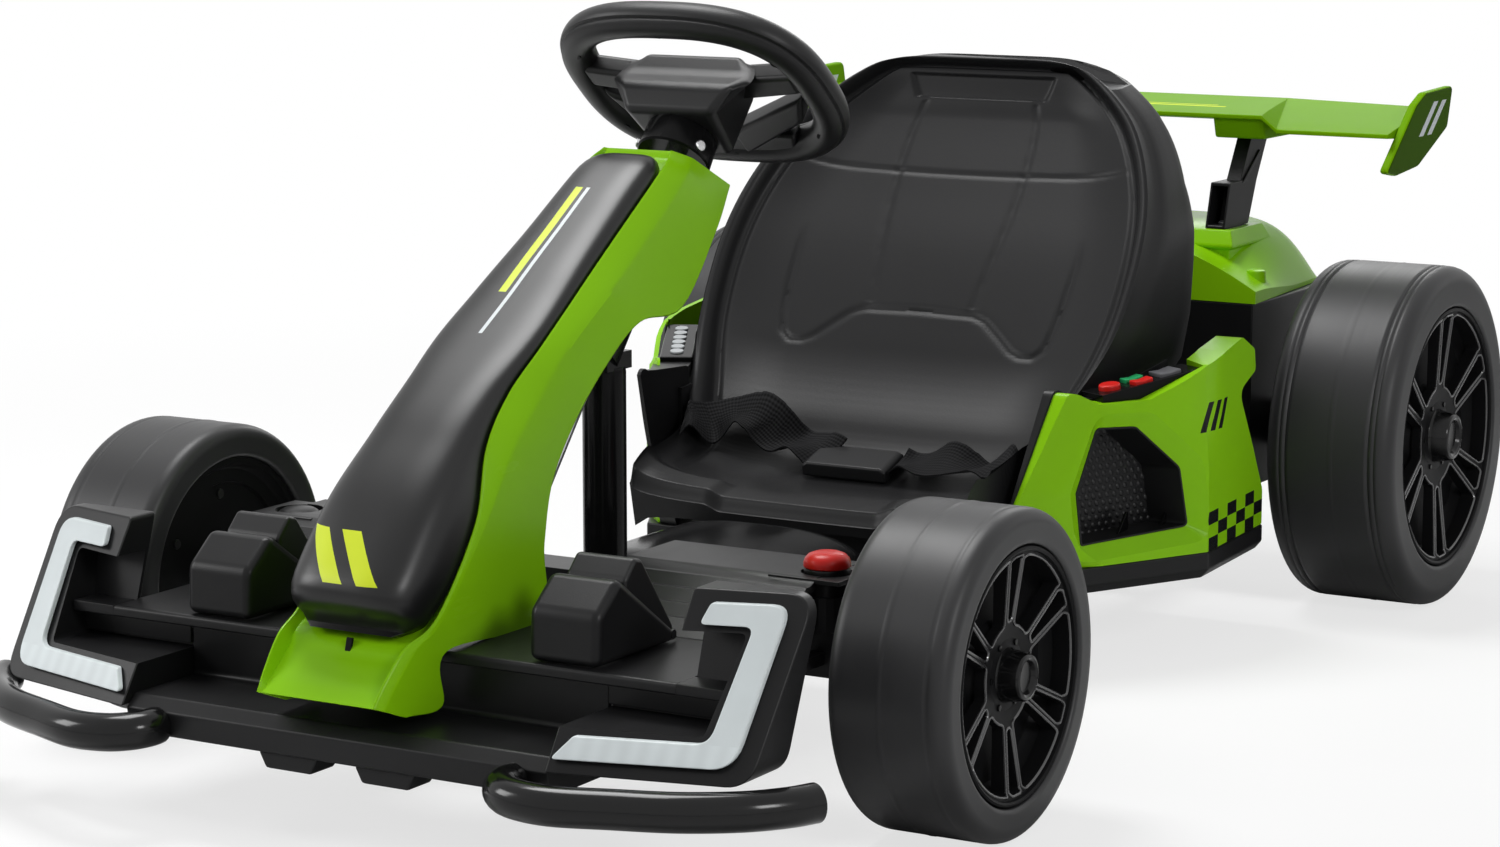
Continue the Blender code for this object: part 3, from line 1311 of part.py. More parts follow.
COVER_TOP = REAR_BODY_TOP + GAP + COVER_HEIGHT


def rear_cover():
    """Domed green lid on the rear body."""
    shells = []
    base = REAR_BODY_TOP + GAP
    for shrink, sink in ((0.0, 0.0), (REAR_BODY_WALL, 0.02)):
        rings = []
        for inset, rise in ((-0.004, 0.0), (-0.004, 0.008), (0.014, 0.022), (0.040, COVER_HEIGHT)):
            half = REAR_BODY_HALF - inset - shrink
            front = REAR_BODY_FRONT + max(inset, 0.0) + shrink
            rear = REAR_BODY_REAR - inset - shrink
            level = base + rise - (shrink if rise > 0.0 else sink)
            corner = COVER_CORNER
            plan = [(half - corner, front), (half, front + corner), (half, rear - corner),
                    (half - corner, rear)]
            plan += [(-x, y) for x, y in reversed(plan)]
            rings.append([(x, y, level) for x, y in plan])
        shells.append(loft(rings))
    return cut(*shells)


publish("rear_cover", rear_cover(), LIME)


def wing_strut(side):
    base = COVER_TOP + GAP
    half = STRUT_THICKNESS * 0.5
    foot = STRUT_CHORD * 0.5
    top = STRUT_TOP_CHORD * 0.5
    knee = base + STRUT_FOOT_HEIGHT
    profile = [(STRUT_BASE_Y - foot, base), (STRUT_BASE_Y + foot, base), (STRUT_BASE_Y + foot, knee),
               (STRUT_TOP_Y + top, STRUT_TOP_Z), (STRUT_TOP_Y - top, STRUT_TOP_Z),
               (STRUT_BASE_Y - foot, knee)]
    return prism(profile, "x", side * STRUT_X - half, side * STRUT_X + half)


# From the middle of a strut's top: y, top z, bottom z of the blade
WING_SECTION = [
    (-0.055, 0.0145, 0.0105), (-0.031, 0.0195, 0.0060), (0.004, 0.0245, 0.0060),
    (0.034, 0.0275, 0.0170), (0.049, 0.0290, 0.0262),
]
# From the middle of a strut's top: y, z of an end plate
ENDPLATE = [
    (-0.018, 0.033), (0.001, 0.042), (0.066, 0.044), (0.067, 0.008), (0.008, -0.021),
    (-0.041, -0.025), (-0.067, -0.021),
]
ENDPLATE_LEAN = 0.12


def rear_wing():
    """Blade on two feet, with an end plate at each tip."""
    outline = [(STRUT_TOP_Y + y, STRUT_TOP_Z + top) for y, top, _ in WING_SECTION]
    outline += [(STRUT_TOP_Y + y, STRUT_TOP_Z + low) for y, _, low in reversed(WING_SECTION)]
    reach = WING_HALF_SPAN + WING_OVERLAP
    blade = prism(outline, "x", -reach, reach)
    added = []
    for sign in (1, -1):
        rings = []
        for offset in (0.0, ENDPLATE_THICKNESS):
            rings.append([(sign * (WING_HALF_SPAN + offset + ENDPLATE_LEAN * (z - ENDPLATE[0][1])),
                           STRUT_TOP_Y + y, STRUT_TOP_Z + z) for y, z in ENDPLATE])
        added.append(loft(rings))
        half = STRUT_THICKNESS * 0.5
        long = WING_FOOT_LENGTH * 0.5
        added.append(box((sign * STRUT_X - half, STRUT_TOP_Y - long, STRUT_TOP_Z + GAP),
                         (sign * STRUT_X + half, STRUT_TOP_Y + long, STRUT_TOP_Z + WING_FOOT_HEIGHT)))
    return join(blade, *added)


for sign, tag in SIDES:
    publish(f"wing_strut_{tag}", wing_strut(sign), BLACK)
publish("rear_wing", rear_wing(), LIME)
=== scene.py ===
"""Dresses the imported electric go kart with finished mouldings, soft goods, materials and a studio stage."""
import math

import bmesh
import bpy
from bpy.props import FloatProperty, FloatVectorProperty, IntProperty, PointerProperty
from mathutils import Matrix, Vector


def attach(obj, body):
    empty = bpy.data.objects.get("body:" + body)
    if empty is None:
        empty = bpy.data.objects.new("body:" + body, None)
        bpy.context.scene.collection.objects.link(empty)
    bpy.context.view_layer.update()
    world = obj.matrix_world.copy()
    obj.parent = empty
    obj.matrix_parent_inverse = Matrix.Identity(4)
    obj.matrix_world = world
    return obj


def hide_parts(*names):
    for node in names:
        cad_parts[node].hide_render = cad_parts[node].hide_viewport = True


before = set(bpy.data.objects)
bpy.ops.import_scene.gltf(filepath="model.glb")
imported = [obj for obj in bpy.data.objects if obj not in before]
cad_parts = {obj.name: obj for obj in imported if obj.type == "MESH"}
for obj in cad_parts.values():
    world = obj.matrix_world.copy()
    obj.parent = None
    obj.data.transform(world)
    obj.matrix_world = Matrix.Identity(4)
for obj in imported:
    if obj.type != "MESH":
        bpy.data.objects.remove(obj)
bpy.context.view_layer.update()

bl_info = {
    "name": "Electric Go Kart",
    "version": (1, 0, 0),
    "blender": (4, 5, 0),
    "location": "View3D > Sidebar > Go Kart",
    "description": "Dresses the packed go kart with finished mouldings, a belt and a studio stage",
    "category": "Object",
}

SIDES = ((1, "left", "l"), (-1, "right", "r"))


# Settings that a user would change

def colour_setting(name, description, default):
    return FloatVectorProperty(name=name, description=description, subtype="COLOR", size=3,
                               min=0.0, max=1.0, default=default)


def length_setting(name, description, default):
    return FloatProperty(name=name, description=description, unit="LENGTH", min=0.0, precision=4,
                         default=default)


class KartColours(bpy.types.PropertyGroup):
    """Colours of the kart's finishes."""
    lime: colour_setting("Lime", "Body panels, pods and wing", (0.235, 0.540, 0.004))
    satin: colour_setting("Satin black", "Moulded trim, deck and housings", (0.0075, 0.0075, 0.0080))
    gloss: colour_setting("Gloss black", "Rims, bumpers and nose panel", (0.0045, 0.0045, 0.0048))
    rubber: colour_setting("Tyre", "Foam tyres", (0.0155, 0.0155, 0.0165))
    seat: colour_setting("Seat", "Bucket seat", (0.0090, 0.0090, 0.0095))
    lens: colour_setting("Lamp", "Frosted light bars", (0.62, 0.67, 0.68))
    red: colour_setting("Red", "Kingpin caps and start button", (0.62, 0.014, 0.010))
    green: colour_setting("Green", "Forward switch", (0.02, 0.36, 0.12))
    accent: colour_setting("Accent", "Printed stripes", (0.62, 0.74, 0.02))


class KartSizes(bpy.types.PropertyGroup):
    """Sizes of the details that the scene adds."""
    spoke_pairs: IntProperty(name="Spoke pairs", description="Pairs of spokes in a rim", min=3, default=6)
    spoke_width: length_setting("Spoke width", "Width of one spoke", 0.0044)
    groove_depth: length_setting("Groove depth", "Depth of the rear tyre's shoulder grooves", 0.0013)
    seam_height: length_setting("Seam height", "Mould line round the front tyre", 0.0005)
    bump_pitch: length_setting("Pocket bump pitch", "Spacing of the bumps in the pod pockets", 0.0062)
    crease_depth: length_setting("Crease depth", "Depth of the seat's moulded creases", 0.0011)
    belt_width: length_setting("Belt width", "Width of the lap belt's webbing", 0.038)


class KartStage(bpy.types.PropertyGroup):
    """Camera and light of the studio."""
    azimuth: FloatProperty(name="Azimuth", description="Camera's turn round the kart in degrees",
                           default=30.405)
    elevation: FloatProperty(name="Elevation", description="Camera's height angle in degrees", default=9.511)
    place: FloatVectorProperty(name="Camera place", description="Where the camera stands", unit="LENGTH",
                               size=3, default=(1.3663, -2.3949, 0.6564))
    lens: FloatProperty(name="Lens", description="Focal length in millimetres", default=87.79)
    floor: colour_setting("Floor", "Pale studio floor", (0.90, 0.90, 0.90))
    fill: FloatProperty(name="Fill", description="Strength of the even light from all round", default=0.24)


# Flat outlines and rows of points

def through(points, steps):
    """Smooth row through a row of points, with steps parts between neighbours."""
    made = []
    for k, (b, c) in enumerate(zip(points, points[1:])):
        a = points[k - 1] if k else tuple(2.0 * p - q for p, q in zip(b, c))
        d = points[k + 2] if k + 2 < len(points) else tuple(2.0 * q - p for p, q in zip(b, c))
        for step in range(steps):
            t = step / steps
            made.append(tuple(
                0.5 * (2.0 * q + (r - p) * t + (2.0 * p - 5.0 * q + 4.0 * r - s) * t * t
                       + (3.0 * q - p - 3.0 * r + s) * t ** 3)
                for p, q, r, s in zip(a, b, c, d)))
    return made + [tuple(points[-1])]


def rounded(outline, radius, steps=4):
    """A flat outline with its corners rounded; radius is one number or one for each corner."""
    corners = [Vector(point) for point in outline]
    count = len(corners)
    reaches = radius if isinstance(radius, (list, tuple)) else [radius] * count
    made = []
    for k, corner in enumerate(corners):
        before = corners[k - 1] - corner
        after = corners[(k + 1) % count] - corner
        half = 0.5 * before.angle(after)
        back = min(reaches[k] / math.tan(half), 0.46 * before.length, 0.46 * after.length)
        if back < 1e-6:
            made.append(tuple(corner))
            continue
        start = corner + before.normalized() * back
        end = corner + after.normalized() * back
        for step in range(steps + 1):
            t = step / steps
            made.append(tuple(start * (1.0 - t) ** 2 + corner * 2.0 * t * (1.0 - t) + end * t * t))
    return made


def circle(count):
    """Points of a circle of radius 1."""
    turns = [2.0 * math.pi * k / count for k in range(count)]
    return [(math.cos(turn), math.sin(turn)) for turn in turns]


def squared_oval(half_width, half_height, power, count):
    """Outline between an oval and a rectangle."""
    return [(half_width * math.copysign(abs(c) ** (2.0 / power), c),
             half_height * math.copysign(abs(s) ** (2.0 / power), s)) for c, s in circle(count)]


def arch(steps, wide, high):
    """(across, rise) points over an arch from 1 to -1; smaller powers make it squarer."""
    made = []
    for k in range(steps + 1):
        angle = math.pi * k / steps
        c = math.cos(angle)
        made.append((math.copysign(abs(c) ** wide, c), math.sin(angle) ** high))
    return made


def spread(outline, by):
    """A flat outline moved outwards by a distance."""
    corners = [Vector(point) for point in outline]
    count = len(corners)
    turn = sum(a.cross(b) for a, b in zip(corners, corners[1:] + corners[:1]))
    reach = math.copysign(by, turn * by)
    made = []
    for k, corner in enumerate(corners):
        before = (corner - corners[k - 1]).normalized()
        after = (corners[(k + 1) % count] - corner).normalized()
        first = Vector((before.y, -before.x))
        second = Vector((after.y, -after.x))
        made.append(tuple(corner + (first + second) * reach / (1.0 + first.dot(second))))
    return made


def between(table, at):
    """Straight-line reading of a table of (place, value) pairs."""
    if at <= table[0][0]:
        return table[0][1]
    for (low, first), (high, second) in zip(table, table[1:]):
        if at <= high:
            return first + (second - first) * (at - low) / (high - low)
    return table[-1][1]


def ease(at, low, high):
    """Smooth step from 0 at low to 1 at high."""
    t = max(0.0, min(1.0, (at - low) / (high - low)))
    return t * t * (3.0 - 2.0 * t)


# Shapes

def skin(rows, row_closed=False):
    """Quads over a row of closed rings; the first and last are capped where the row doesn't close."""
    shape = bmesh.new()
    grid = [[shape.verts.new(point) for point in row] for row in rows]
    across = len(grid[0])
    for k in range(len(grid) if row_closed else len(grid) - 1):
        here = grid[k]
        there = grid[(k + 1) % len(grid)]
        for j in range(across):
            nxt = (j + 1) % across
            shape.faces.new((here[j], here[nxt], there[nxt], there[j]))
    if not row_closed:
        shape.faces.new(grid[0])
        shape.faces.new(grid[-1])
    bmesh.ops.recalc_face_normals(shape, faces=shape.faces)
    return shape


def prism(outline, along, start, end):
    """Extrude a flat outline along x, y or z; its two numbers are the other axes in order."""
    def place(a, b, c):
        return {"x": (c, a, b), "y": (a, c, b), "z": (a, b, c)}[along]
    return skin([[place(a, b, level) for a, b in outline] for level in (start, end)])


def block(low, high):
    """A box from its two corners."""
    outline = [(low[0], low[1]), (high[0], low[1]), (high[0], high[1]), (low[0], high[1])]
    return prism(outline, "z", low[2], high[2])


def lathe(section, sides, centre):
    """Turn a closed section of (x, radius) pairs about an axle along x."""
    rows = [[(x, centre[0] + r * s, centre[1] - r * c) for x, r in section] for c, s in circle(sides)]
    return skin(rows, row_closed=True)


def bar(start, end, radius, sides):
    """A round bar between two points."""
    start = Vector(start)
    end = Vector(end)
    turn = (end - start).to_track_quat("Z", "Y").to_matrix()
    ring = [turn @ Vector((radius * c, radius * s, 0.0)) for c, s in circle(sides)]
    return skin([[start + point for point in ring], [end + point for point in ring]])


def merged(*shapes):
    """Several shapes in one bmesh."""
    made = bmesh.new()
    for shape in shapes:
        mesh = bpy.data.meshes.new("part")
        shape.to_mesh(mesh)
        shape.free()
        made.from_mesh(mesh)
        bpy.data.meshes.remove(mesh)
    return made


def moved(shape, matrix):
    """The shape taken to another place; a mirror turns its faces back outwards."""
    bmesh.ops.transform(shape, verts=shape.verts, matrix=matrix)
    if matrix.to_3x3().determinant() < 0.0:
        bmesh.ops.reverse_faces(shape, faces=shape.faces)
    return shape


def sided(shape, side):
    """A left-hand shape, mirrored for the right-hand side."""
    return moved(shape, Matrix.Scale(-1.0, 4, (1.0, 0.0, 0.0))) if side < 0 else shape


def linked(name, data):
    """A new object in the scene."""
    made = bpy.data.objects.new(name, data)
    bpy.context.scene.collection.objects.link(made)
    return made


def holder(name, shape):
    """An object that holds a shape."""
    bmesh.ops.remove_doubles(shape, verts=shape.verts, dist=1e-6)
    mesh = bpy.data.meshes.new(name)
    shape.to_mesh(mesh)
    shape.free()
    return linked(name, mesh)


def settle(made):
    """Turn an object with modifiers into a plain mesh."""
    graph = bpy.context.evaluated_depsgraph_get()
    graph.update()
    old = made.data
    mesh = bpy.data.meshes.new_from_object(made.evaluated_get(graph), depsgraph=graph)
    made.modifiers.clear()
    made.data = mesh
    mesh.name = made.name
    bpy.data.meshes.remove(old)
    return made


def shape_of(made):
    """The mesh of a made object, taken out of the scene."""
    shape = bmesh.new()
    shape.from_mesh(made.data)
    bpy.data.objects.remove(made, do_unlink=True)
    return shape


def finished(shape, bevel, segments=3, angle=32.0):
    """The shape with its edges rounded, as a new shape."""
    made = holder("stage", shape)
    step = made.modifiers.new("edges", "BEVEL")
    step.width = bevel
    step.segments = segments
    step.limit_method = "ANGLE"
    step.angle_limit = math.radians(angle)
    step.miter_outer = "MITER_ARC"
    step.use_clamp_overlap = True
    return shape_of(settle(made))


def combined(base, tools, operation):
    """Join the tools to the base, or cut them from it."""
    body = holder("stage", base)
    helpers = [holder("tool", tool) for tool in tools]
    for helper in helpers:
        step = body.modifiers.new("step", "BOOLEAN")
        step.operation = operation
        step.solver = "EXACT"
        step.object = helper
    settle(body)
    for helper in helpers:
        bpy.data.objects.remove(helper, do_unlink=True)
    return shape_of(body)


def cut(base, *tools):
    return combined(base, tools, "DIFFERENCE")


def solid_of(node):
    """A merged copy of a CAD node's mesh with its flat faces joined."""
    shape = bmesh.new()
    shape.from_mesh(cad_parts[node].data)
    bmesh.ops.remove_doubles(shape, verts=shape.verts, dist=1e-6)
    bmesh.ops.dissolve_limit(shape, angle_limit=math.radians(1.0), verts=shape.verts, edges=shape.edges)
    return shape


def publish(name, shape, finish_name, body, nodes=(), crease=38.0):
    """Make a piece of the kart: its mesh, finish, the body it rides on and the nodes it stands for."""
    return dress(holder(name, shape), finish_name, body, nodes, crease)


def dress(made, finish_name, body, nodes=(), crease=38.0):
    """Finish an object as a piece of the kart."""
    paint = finish(finish_name)
    made.data.materials.clear()
    made.data.materials.append(paint)
    made.data.shade_smooth()
    made.data.set_sharp_from_angle(angle=math.radians(crease))
    weigh = made.modifiers.new("shading", "WEIGHTED_NORMAL")
    weigh.keep_sharp = True
    weigh.weight = 60
    settle(made)
    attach(made, body)
    if nodes:
        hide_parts(*nodes)
    return made


# Nodes

def feed(tree, socket, value):
    """Link or set one input."""
    if isinstance(value, bpy.types.NodeSocket):
        tree.links.new(value, socket)
    else:
        socket.default_value = value


def add_node(tree, kind, settings=(), inputs=(), output=0):
    """Add a node, its settings first and then its values or links, and give one of its outputs."""
    made = tree.nodes.new(kind)
    for key, value in dict(settings).items():
        setattr(made, key, value)
    for key, value in dict(inputs).items():
        feed(tree, made.inputs[key], value)
    return made.outputs[output]


# Geometry Nodes for what repeats or follows a path

def tree_of(name, sockets):
    """A new geometry tree with named inputs and a material, and the outputs of its input node."""
    tree = bpy.data.node_groups.new(name, "GeometryNodeTree")
    kinds = {"Geometry": "Geometry", **sockets, "Material": "Material"}
    for label, kind in kinds.items():
        tree.interface.new_socket(label, in_out="INPUT", socket_type="NodeSocket" + kind)
    tree.interface.new_socket("Geometry", in_out="OUTPUT", socket_type="NodeSocketGeometry")
    return tree, tree.nodes.new("NodeGroupInput").outputs


def closed_tree(tree, source, given):
    """End a tree in Realize Instances and Set Material."""
    real = add_node(tree, "GeometryNodeRealizeInstances", inputs={0: source})
    painted = add_node(tree, "GeometryNodeSetMaterial",
                       inputs={"Geometry": real, "Material": given["Material"]})
    feed(tree, tree.nodes.new("NodeGroupOutput").inputs[0], painted)
    return tree


def axle_tree():
    """Copies of a shape turned round an axle along x."""
    tree, given = tree_of("copies round an axle", {"Count": "Int", "Centre": "Vector"})
    line = add_node(tree, "GeometryNodeMeshLine", inputs={"Count": given["Count"], "Offset": (0.0, 0.0, 0.0)})
    step = add_node(tree, "ShaderNodeMath", {"operation": "DIVIDE"}, {0: 2.0 * math.pi, 1: given["Count"]})
    index = add_node(tree, "GeometryNodeInputIndex")
    angle = add_node(tree, "ShaderNodeMath", {"operation": "MULTIPLY"}, {0: index, 1: step})
    turn = add_node(tree, "ShaderNodeCombineXYZ", inputs={"X": angle})
    shape = add_node(tree, "GeometryNodeGeometryToInstance", inputs={0: given["Geometry"]})
    copies = add_node(tree, "GeometryNodeInstanceOnPoints",
                      inputs={"Points": line, "Instance": shape, "Rotation": turn})
    placed = add_node(tree, "GeometryNodeTransform",
                      inputs={"Geometry": copies, "Translation": given["Centre"]})
    return closed_tree(tree, placed, given)


def spot_tree():
    """Copies of a shape on the points of a mesh, with the shape's z along each point's facing."""
    tree, given = tree_of("copies on spots", {"Shape": "Object"})
    shape = add_node(tree, "GeometryNodeObjectInfo", inputs={"Object": given["Shape"], "As Instance": True},
                     output="Geometry")
    facing = add_node(tree, "GeometryNodeInputNamedAttribute", {"data_type": "FLOAT_VECTOR"},
                      {"Name": "facing"})
    turn = add_node(tree, "FunctionNodeAlignRotationToVector", {"axis": "Z"}, {"Vector": facing})
    copies = add_node(tree, "GeometryNodeInstanceOnPoints",
                      inputs={"Points": given["Geometry"], "Instance": shape, "Rotation": turn})
    return closed_tree(tree, copies, given)


def tube_tree():
    """A round tube with closed ends along the edges of a mesh."""
    tree, given = tree_of("tube along a path", {"Radius": "Float", "Sides": "Int"})
    path = add_node(tree, "GeometryNodeMeshToCurve", inputs={0: given["Geometry"]})
    ring = add_node(tree, "GeometryNodeCurvePrimitiveCircle",
                    inputs={"Resolution": given["Sides"], "Radius": given["Radius"]})
    tube = add_node(tree, "GeometryNodeCurveToMesh",
                    inputs={"Curve": path, "Profile Curve": ring, "Fill Caps": True})
    return closed_tree(tree, tube, given)


TREES = {}


def grow(made, kind, values):
    """Run a geometry tree on an object, with its inputs by name, and keep the plain mesh."""
    if kind not in TREES:
        TREES[kind] = {"axle": axle_tree, "spot": spot_tree, "tube": tube_tree}[kind]()
    tree = TREES[kind]
    step = made.modifiers.new(kind, "NODES")
    step.node_group = tree
    for item in tree.interface.items_tree:
        if item.in_out == "INPUT" and item.name in values:
            step[item.identifier] = values[item.name]
    return settle(made)


def round_axle(name, shape, count, centre, finish_name):
    """Copies of a shape, given round the origin, turned about an axle."""
    made = holder(name, shape)
    return grow(made, "axle", {"Count": count, "Centre": (0.0, *centre), "Material": finish(finish_name)})


def wire(name, points, edges=()):
    """An object of bare points and edges."""
    mesh = bpy.data.meshes.new(name)
    mesh.from_pydata([tuple(point) for point in points], edges, [])
    return linked(name, mesh)


def on_spots(name, spots, shape, finish_name, body):
    """Copies of a shape on (place, facing) pairs, as one piece of the kart."""
    made = wire(name, [place for place, _ in spots])
    facing = made.data.attributes.new("facing", "FLOAT_VECTOR", "POINT")
    for k, (_, way) in enumerate(spots):
        facing.data[k].vector = Vector(way).normalized()
    model = holder("model", shape)
    grow(made, "spot", {"Shape": model, "Material": finish(finish_name)})
    bpy.data.objects.remove(model, do_unlink=True)
    return dress(made, finish_name, body)


def tube(name, path, radius, sides, finish_name, closed=False):
    """A tube along a row of points."""
    count = len(path)
    edges = [(k, k + 1) for k in range(count - 1)] + ([(count - 1, 0)] if closed else [])
    made = wire(name, path, edges)
    return grow(made, "tube", {"Radius": radius, "Sides": sides, "Material": finish(finish_name)})


# Shader maths

def sum_node(operation, swapped=False):
    """An operator of Signal that adds a Math node."""
    def made(self, other):
        first, second = (other, self) if swapped else (self, other)
        return self.paint.maths(operation, first, second)
    return made


class Signal:
    """One output of a shader node; sums on it add Math nodes."""

    def __init__(self, paint, socket):
        self.paint = paint
        self.socket = socket

    __add__ = sum_node("ADD")
    __radd__ = sum_node("ADD", swapped=True)
    __sub__ = sum_node("SUBTRACT")
    __rsub__ = sum_node("SUBTRACT", swapped=True)
    __mul__ = sum_node("MULTIPLY")
    __truediv__ = sum_node("DIVIDE")
    __mod__ = sum_node("FLOORED_MODULO")
    __gt__ = sum_node("GREATER_THAN")
    __lt__ = sum_node("LESS_THAN")

    def sine(self):
        return self.paint.maths("SINE", self, 0.0)

    def size(self):
        return self.paint.maths("ABSOLUTE", self, 0.0)


class Paint:
    """A material in the making."""

    def __init__(self, name, slot, shine=0.2):
        self.material = bpy.data.materials.new(name)
        self.material["slot"] = slot
        self.material.use_nodes = True
        self.tree = self.material.node_tree
        self.shader = self.tree.nodes["Principled BSDF"]
        self.shader.inputs["Specular IOR Level"].default_value = shine

    def feed(self, socket, value):
        feed(self.tree, socket, value.socket if isinstance(value, Signal) else value)

    def node(self, kind, settings=(), inputs=(), output=0):
        """Any node, fed with values and signals."""
        bare = {key: value.socket if isinstance(value, Signal) else value
                for key, value in dict(inputs).items()}
        return Signal(self, add_node(self.tree, kind, settings, bare, output))

    def maths(self, operation, first, second):
        return self.node("ShaderNodeMath", {"operation": operation}, {0: first, 1: second})

    def place(self):
        return self.node("ShaderNodeTexCoord", output="Object")

    def axes(self, vector):
        parts = self.tree.nodes.new("ShaderNodeSeparateXYZ")
        self.feed(parts.inputs[0], vector)
        return [Signal(self, socket) for socket in parts.outputs]

    def uv(self):
        return self.axes(self.node("ShaderNodeTexCoord", output="UV"))

    def noise(self, scale, detail=3.0, stretch=None):
        vector = self.place()
        if stretch:
            vector = self.node("ShaderNodeMapping", inputs={"Vector": vector, "Scale": stretch})
        return self.node("ShaderNodeTexNoise", inputs={"Vector": vector, "Scale": scale, "Detail": detail})

    def mix(self, share, first, second):
        """Blend of two colours."""
        first = (*first, 1.0) if isinstance(first, tuple) else first
        second = (*second, 1.0) if isinstance(second, tuple) else second
        return self.node("ShaderNodeMix", {"data_type": "RGBA"}, {0: share, 6: first, 7: second}, output=2)

    def bump(self, height, strength, distance):
        made = self.node("ShaderNodeBump", inputs={"Height": height, "Strength": strength,
                                                   "Distance": distance})
        self.feed(self.shader.inputs["Normal"], made)

    def set(self, **values):
        """Values or links for the shader, by socket name with underscores."""
        for key, value in values.items():
            if isinstance(value, tuple) and len(value) == 3:
                value = (*value, 1.0)
            self.feed(self.shader.inputs[key.replace("_", " ")], value)
        return self


def scaled(colour, share):
    return tuple(min(1.0, channel * share) for channel in colour)


def moulded(name, slot, colour, roughness, grain=900.0, depth=0.00012, shine=0.16, spread=0.10):
    """Moulded plastic: fine grain, a soft cloud in the colour and a wavering gloss."""
    paint = Paint(name, slot, shine)
    colour = tuple(colour)
    cloud = paint.noise(7.0, 4.0)
    fine = paint.noise(grain, 2.0)
    scuff = paint.noise(60.0, 5.0, stretch=(1.0, 0.16, 1.0))
    paint.set(Base_Color=paint.mix(cloud, scaled(colour, 0.86), scaled(colour, 1.12)),
              Roughness=roughness + (cloud - 0.5) * spread + (scuff - 0.5) * spread * 0.8)
    paint.bump(fine + scuff * 0.2, 0.35, depth)
    return paint


PAINTS = {}


def finish(name):
    """The finished material of that name, made on first use."""
    if name not in PAINTS:
        PAINTS[name] = FINISHES[name](bpy.context.scene.kart_colours).material
    return PAINTS[name]


def printed(paint, share, colour):
    """Lay a flat printed colour over a finish where share is 1."""
    socket = paint.shader.inputs["Base Color"]
    base = Signal(paint, socket.links[0].from_socket)
    return paint.set(Base_Color=paint.mix(share, base, colour))


def span(value, low, high):
    """1 where a signal lies between two levels."""
    return (value > low) * (value < high)


PRINT_BLACK = (0.006, 0.006, 0.007)
PRINT_WHITE = (0.62, 0.66, 0.68)
# Painted shade laid over the outer faces of the wing's end plates.
PLATE_PAINTED_SHADE = (0.012, 0.030, 0.004)


LIME_LOOK = (0.26, 700.0, 0.00005, 0.12, 0.06)


def plain(name, slot, colour, *look, painted_light=1.0):
    """A finish of plain moulded plastic; the colour is given or is the name of a setting, and painted_light
    scales it to paint light or shade into it.
    """
    def made(colours):
        base = getattr(colours, colour) if isinstance(colour, str) else colour
        return moulded(name, slot, scaled(base, painted_light), *look)
    return made


def pod_finish(colours):
    """Lime with a checker patch and slanted bars printed in black on the pod's outer face."""
    paint = moulded("lime pod plastic", "lime_plastic", colours.lime, *LIME_LOOK)
    x, y, z = paint.axes(paint.place())
    column = paint.maths("FLOOR", (y - 0.213) / 0.0215, 0.0)
    row = paint.maths("FLOOR", (z - 0.0833) / 0.0104, 0.0)
    checker = ((column + row) % 2.0 < 0.5) * span(y, 0.213, 0.342) * (z < 0.1145)
    lean = y - (z - 0.178) * 0.5
    bars = ((lean - 0.2050) % 0.0135 < 0.0075) * span(lean, 0.2050, 0.2395) * span(z, 0.178, 0.201)
    return printed(paint, (checker + bars) * (x.size() > 0.226), PRINT_BLACK)


def wing_finish(colours):
    """Lime darkened by painted shade, with a printed stripe on the blade, painted shade on the outer faces of
    the end plates and two pale slanted bars on them.
    """
    # The wing's lime at 0.66 of its colour is painted shade.
    painted_light = scaled(tuple(colours.lime), 0.66)
    paint = moulded("lime wing plastic", "lime_plastic", painted_light, 0.42, 700.0, 0.00005, 0.012, 0.06)
    x, y, z = paint.axes(paint.place())
    stripe = span(y, 0.520, 0.5245) * (x.size() < 0.128) + span(y, 0.5285, 0.531) * (x.size() < 0.118)
    printed(paint, stripe * (z > 0.3955), tuple(colours.accent))
    # Painted shade over the end plates' outer faces, at 0.80 of full strength.
    outside = x.size() - (z - WING_PLACE[1]) * PLATE_LEAN > WING_HALF + PLATE_HALF - 0.0006
    printed(paint, outside * 0.80, PLATE_PAINTED_SHADE)
    lean = y - (z - 0.392) * 0.9
    bars = ((lean - 0.5440) % 0.0200 < 0.0105) * span(lean, 0.5440, 0.5790) * span(z, 0.3860, 0.4140)
    return printed(paint, bars * (x.size() > 0.2895), PRINT_WHITE)


def panel_finish(colours):
    """Black nose panel with plain stripes down it and two slanted bars on its front."""
    paint = moulded("nose panel black", "satin_black_plastic", colours.gloss, 0.34, 1300.0, 0.00006, 0.33,
                    0.06)
    x, _, z = paint.axes(paint.place())
    printed(paint, span(x, -0.0135, -0.0075) * span(z, 0.338, 0.400), tuple(colours.accent))
    printed(paint, span(x, -0.0045, -0.0015) * span(z, 0.315, 0.400), PRINT_WHITE)
    lean = x + (z - 0.190) * 0.9
    bars = ((lean + 0.024) % 0.0260 < 0.0150) * span(lean, -0.024, 0.0175) * span(z, 0.176, 0.206)
    return printed(paint, bars, tuple(colours.accent))


def rubber_finish(colours):
    """Foam tyre: matt skin with faint lines round it and small marks."""
    paint = Paint("tyre foam", "tyre_foam", 0.34)
    colour = tuple(colours.rubber)
    cloud = paint.noise(16.0, 5.0)
    lines = paint.noise(420.0, 3.0, stretch=(1.0, 0.012, 0.012))
    pits = paint.noise(520.0, 3.0)
    tone = cloud * 0.6 + lines * 0.4
    paint.set(Base_Color=paint.mix(tone, scaled(colour, 0.80), scaled(colour, 1.22)),
              Roughness=0.44 + (cloud - 0.5) * 0.12 + (lines - 0.5) * 0.08)
    paint.bump(lines * 0.5 + pits * 0.5, 0.25, 0.00016)
    return paint


